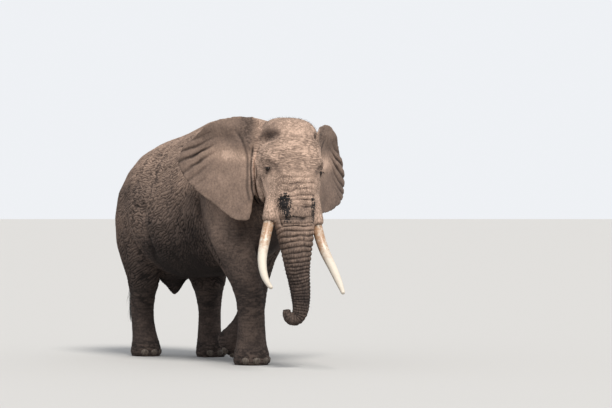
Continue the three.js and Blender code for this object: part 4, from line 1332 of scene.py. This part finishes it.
def drooping(start, way, length, sag):
    """The course of one hair that starts one way and bends down, as six points."""
    t = np.linspace(0, 1, 6)[:, None]
    return start + way * length * t + np.array([0, 0, -1]) * sag * length * t ** 2


def rooted_hairs(random, amount, chance, lengths, sag, lift):
    """Courses of hairs spread over the skin by chance, and their roots' places on its map."""
    mesh = bpy.data.objects["hide"].data
    at = column(mesh.vertices, "co", 3).astype(float)
    normal = column(mesh.vertex_normals, "vector", 3).astype(float)
    corners = column(mesh.loops, "vertex_index", kind=np.int32)
    place = np.zeros((len(at), 2))
    place[corners] = column(mesh.uv_layers["OFBake"].data, "uv", 2)
    weight = chance(to_head(at), at)
    chosen = random.choice(len(at), amount, p=weight / weight.sum())
    courses = []
    for index in chosen:
        way = normal[index] * lift + random.normal(0, 0.35, 3)
        way /= np.linalg.norm(way)
        course = drooping(at[index] - way * 0.003, way, random.uniform(*lengths), sag)
        courses.append(np.clip(course, np.array(CAD_BOX[0]) + 0.002, np.array(CAD_BOX[1]) - 0.002))
    return courses, place[chosen]


def crown_and_chin(head, at):
    """Where short bristles stand: the crown, the chin, the front of face and trunk, and the spine."""
    crown = smoothstep(head[:, 2], 0.35, 0.6) * (head[:, 1] > -0.6)
    chin = bell(np.linalg.norm(head - (0, -0.1, -0.85), axis=1), 0, 0.16) * 2.5
    front = 0.08 * (head[:, 1] > 0.05) * (np.abs(head[:, 0]) < 0.35)
    spine = 0.15 * bell(at[:, 0], 0, 0.12) * (at[:, 2] > 2.6)
    return crown + chin + front + spine


class ELEPHANT_OT_hair(Operator):
    """Make the tail's brush, the eyelashes and the sparse bristles"""
    bl_idname = "elephant.hair"
    bl_label = "Hair"

    def execute(self, context):
        settings = context.scene.elephant_hair
        finish = hair_material(settings)
        random = np.random.default_rng(11)
        self.tail(settings, finish, random)
        self.lashes(finish, random)
        courses, places = rooted_hairs(random, settings.bristles, crown_and_chin, (0.02, 0.05), 0.35, 1.0)
        strands("bristles", courses, 0.0016, places, finish)
        return {"FINISHED"}

    def tail(self, settings, finish, random):
        """Two rows of long stiff hairs at the end of the tail."""
        low, high = (np.array(corner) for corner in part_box("tail_tuft"))
        centre = (low + high) / 2
        courses = []
        for _ in range(settings.tail_hairs):
            row = 1 if random.random() < 0.5 else -1
            height = random.random()
            start = np.array([centre[0] + random.normal(0, 0.006), centre[1] + row * 0.008,
                              high[2] + 0.03 - 0.34 * height])
            sideways = random.normal(0, 0.02)
            bow = np.array([sideways, row * (high[1] - low[1]) * random.uniform(0.15, 0.5), 0])
            fall = (high[2] - low[2]) * random.uniform(0.35, 0.62)
            end = start + bow * 0.8 + np.array([0, 0, -fall])
            end[2] = max(end[2], low[2] + 0.004)
            end[1] = min(max(end[1], low[1] + 0.01), high[1] - 0.01)
            middle = (start * 0.55 + end * 0.45) + bow
            t = np.linspace(0, 1, 9)[:, None]
            courses.append(start * (1 - t) ** 2 + 2 * middle * t * (1 - t) + end * t ** 2)
        across = random.uniform(0.9, 0.97, len(courses))
        places = np.column_stack([across, random.uniform(0.972, 0.994, len(courses))])
        brush = strands("tail_brush", courses, 0.004, places, finish)
        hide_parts("tail_tuft")

    def lashes(self, finish, random):
        """Long lashes that hang from the upper lids."""
        for side, s in SIDES.items():
            courses = []
            for share in np.linspace(-0.9, 0.9, 34):
                x = 0.037 * share
                rise = LID_RISE * (1 - share ** 2) ** 0.8 + LID_SLANT * x
                depth = math.sqrt(max((EYE_RADIUS + 0.004) ** 2 - x ** 2, 0.0001)) - 0.003
                root = from_head(np.array([depth, x, rise]) @ eye_axes(s) + (s * EYE_SIDE, 0, 0))
                way = np.array([0.9, 0.5 * share, 0.05]) @ eye_axes(s) @ HEAD_AXES
                way += random.normal(0, 0.08, 3)
                way /= np.linalg.norm(way)
                courses.append(drooping(root, way, random.uniform(0.035, 0.055), 0.55))
            beside = np.full(len(courses), 0.8 + s * 0.08)
            places = np.column_stack([beside, np.linspace(0.2, 0.22, len(courses))])
            strands(f"lashes_{side}", courses, 0.0016, places, finish)


# ---- stage ----

class ELEPHANT_OT_stage(Operator):
    """Lay the pale floor, hang the soft lights and place the camera"""
    bl_idname = "elephant.stage"
    bl_label = "Stage"

    def execute(self, context):
        s = context.scene.elephant_stage
        scene = context.scene
        floor_sheet = Sheet("floor", 0.9)
        seen = floor_sheet.node("ShaderNodeLightPath")
        pale = floor_sheet.mix(seen, (0.3, 0.29, 0.28), tuple(s.floor))
        disc = bmesh.new()
        bmesh.ops.create_circle(disc, cap_ends=True, segments=96, radius=400)
        floor = in_scene("floor", as_mesh("floor", disc))
        floor.data.materials.append(floor_sheet.finish(Base_Color=pale))
        floor.location.z = -0.0005
        world = bpy.data.worlds.new("studio")
        scene.world = world
        world.use_nodes = True
        tree = world.node_tree
        back = tree.nodes["Background"]
        back.inputs["Color"].default_value = (0.93, 0.96, 1.0, 1)
        back.inputs["Strength"].default_value = 0.6
        shown = tree.nodes.new("ShaderNodeBackground")
        shown.inputs["Color"].default_value = (0.86, 0.88, 0.91, 1)
        rays = tree.nodes.new("ShaderNodeLightPath")
        choose = tree.nodes.new("ShaderNodeMixShader")
        tree.links.new(rays.outputs["Is Camera Ray"], choose.inputs["Fac"])
        tree.links.new(back.outputs["Background"], choose.inputs[1])
        tree.links.new(shown.outputs["Background"], choose.inputs[2])
        tree.links.new(choose.outputs["Shader"], tree.nodes["World Output"].inputs["Surface"])
        sun_data = bpy.data.lights.new("key", "SUN")
        sun_data.energy = 2.75
        sun_data.angle = math.radians(22)
        sun_data.color = (1.0, 0.96, 0.9)
        sun = in_scene("key", sun_data)
        from_direction = Vector((-0.22, -0.78, 1.12))
        sun.rotation_euler = from_direction.to_track_quat("Z", "Y").to_euler()
        lens = bpy.data.cameras.new("camera")
        lens.lens = 145.6
        lens.sensor_width = 36
        lens.shift_y = 0.0049
        lens.clip_end = 1000
        camera = in_scene("camera", lens)
        ahead = Vector((-math.sin(s.azimuth), math.cos(s.azimuth), 0))
        right = Vector((math.cos(s.azimuth), math.sin(s.azimuth), 0))
        camera.location = right * s.aside - ahead * s.distance + Vector((0, 0, s.height))
        camera.rotation_euler = (math.radians(90), 0, s.azimuth)
        scene.camera = camera
        scene.view_settings.view_transform = "Standard"
        return {"FINISHED"}


# ---- panel and running order ----

ORDER = (ELEPHANT_OT_skin, ELEPHANT_OT_eyes, ELEPHANT_OT_tusks, ELEPHANT_OT_nails, ELEPHANT_OT_hair,
         ELEPHANT_OT_stage)
SETTINGS = {"elephant_hide": HideSettings, "elephant_eye": EyeSettings, "elephant_ivory": IvorySettings,
            "elephant_nail": NailSettings, "elephant_hair": HairSettings, "elephant_stage": StageSettings}


class ELEPHANT_PT_panel(Panel):
    """Lists the elephant's pieces and their settings"""
    bl_idname = "ELEPHANT_PT_panel"
    bl_label = "Walking elephant"
    bl_space_type = "VIEW_3D"
    bl_region_type = "UI"
    bl_category = "Elephant"

    def draw(self, context):
        for operator in ORDER:
            self.layout.operator(operator.bl_idname)
        for name, group in SETTINGS.items():
            box = self.layout.box()
            for key in group.__annotations__:
                box.prop(getattr(context.scene, name), key)


def register():
    for group in SETTINGS.values():
        bpy.utils.register_class(group)
    for item in (*ORDER, ELEPHANT_PT_panel):
        bpy.utils.register_class(item)
    for name, group in SETTINGS.items():
        setattr(bpy.types.Scene, name, PointerProperty(type=group))


def unregister():
    for name in SETTINGS:
        delattr(bpy.types.Scene, name)
    for item in (ELEPHANT_PT_panel, *ORDER, *SETTINGS.values()):
        bpy.utils.unregister_class(item)


def main():
    register()
    for operator in ORDER:
        getattr(bpy.ops.elephant, operator.bl_idname.split(".")[1])()


if __name__ == "__main__":
    main()
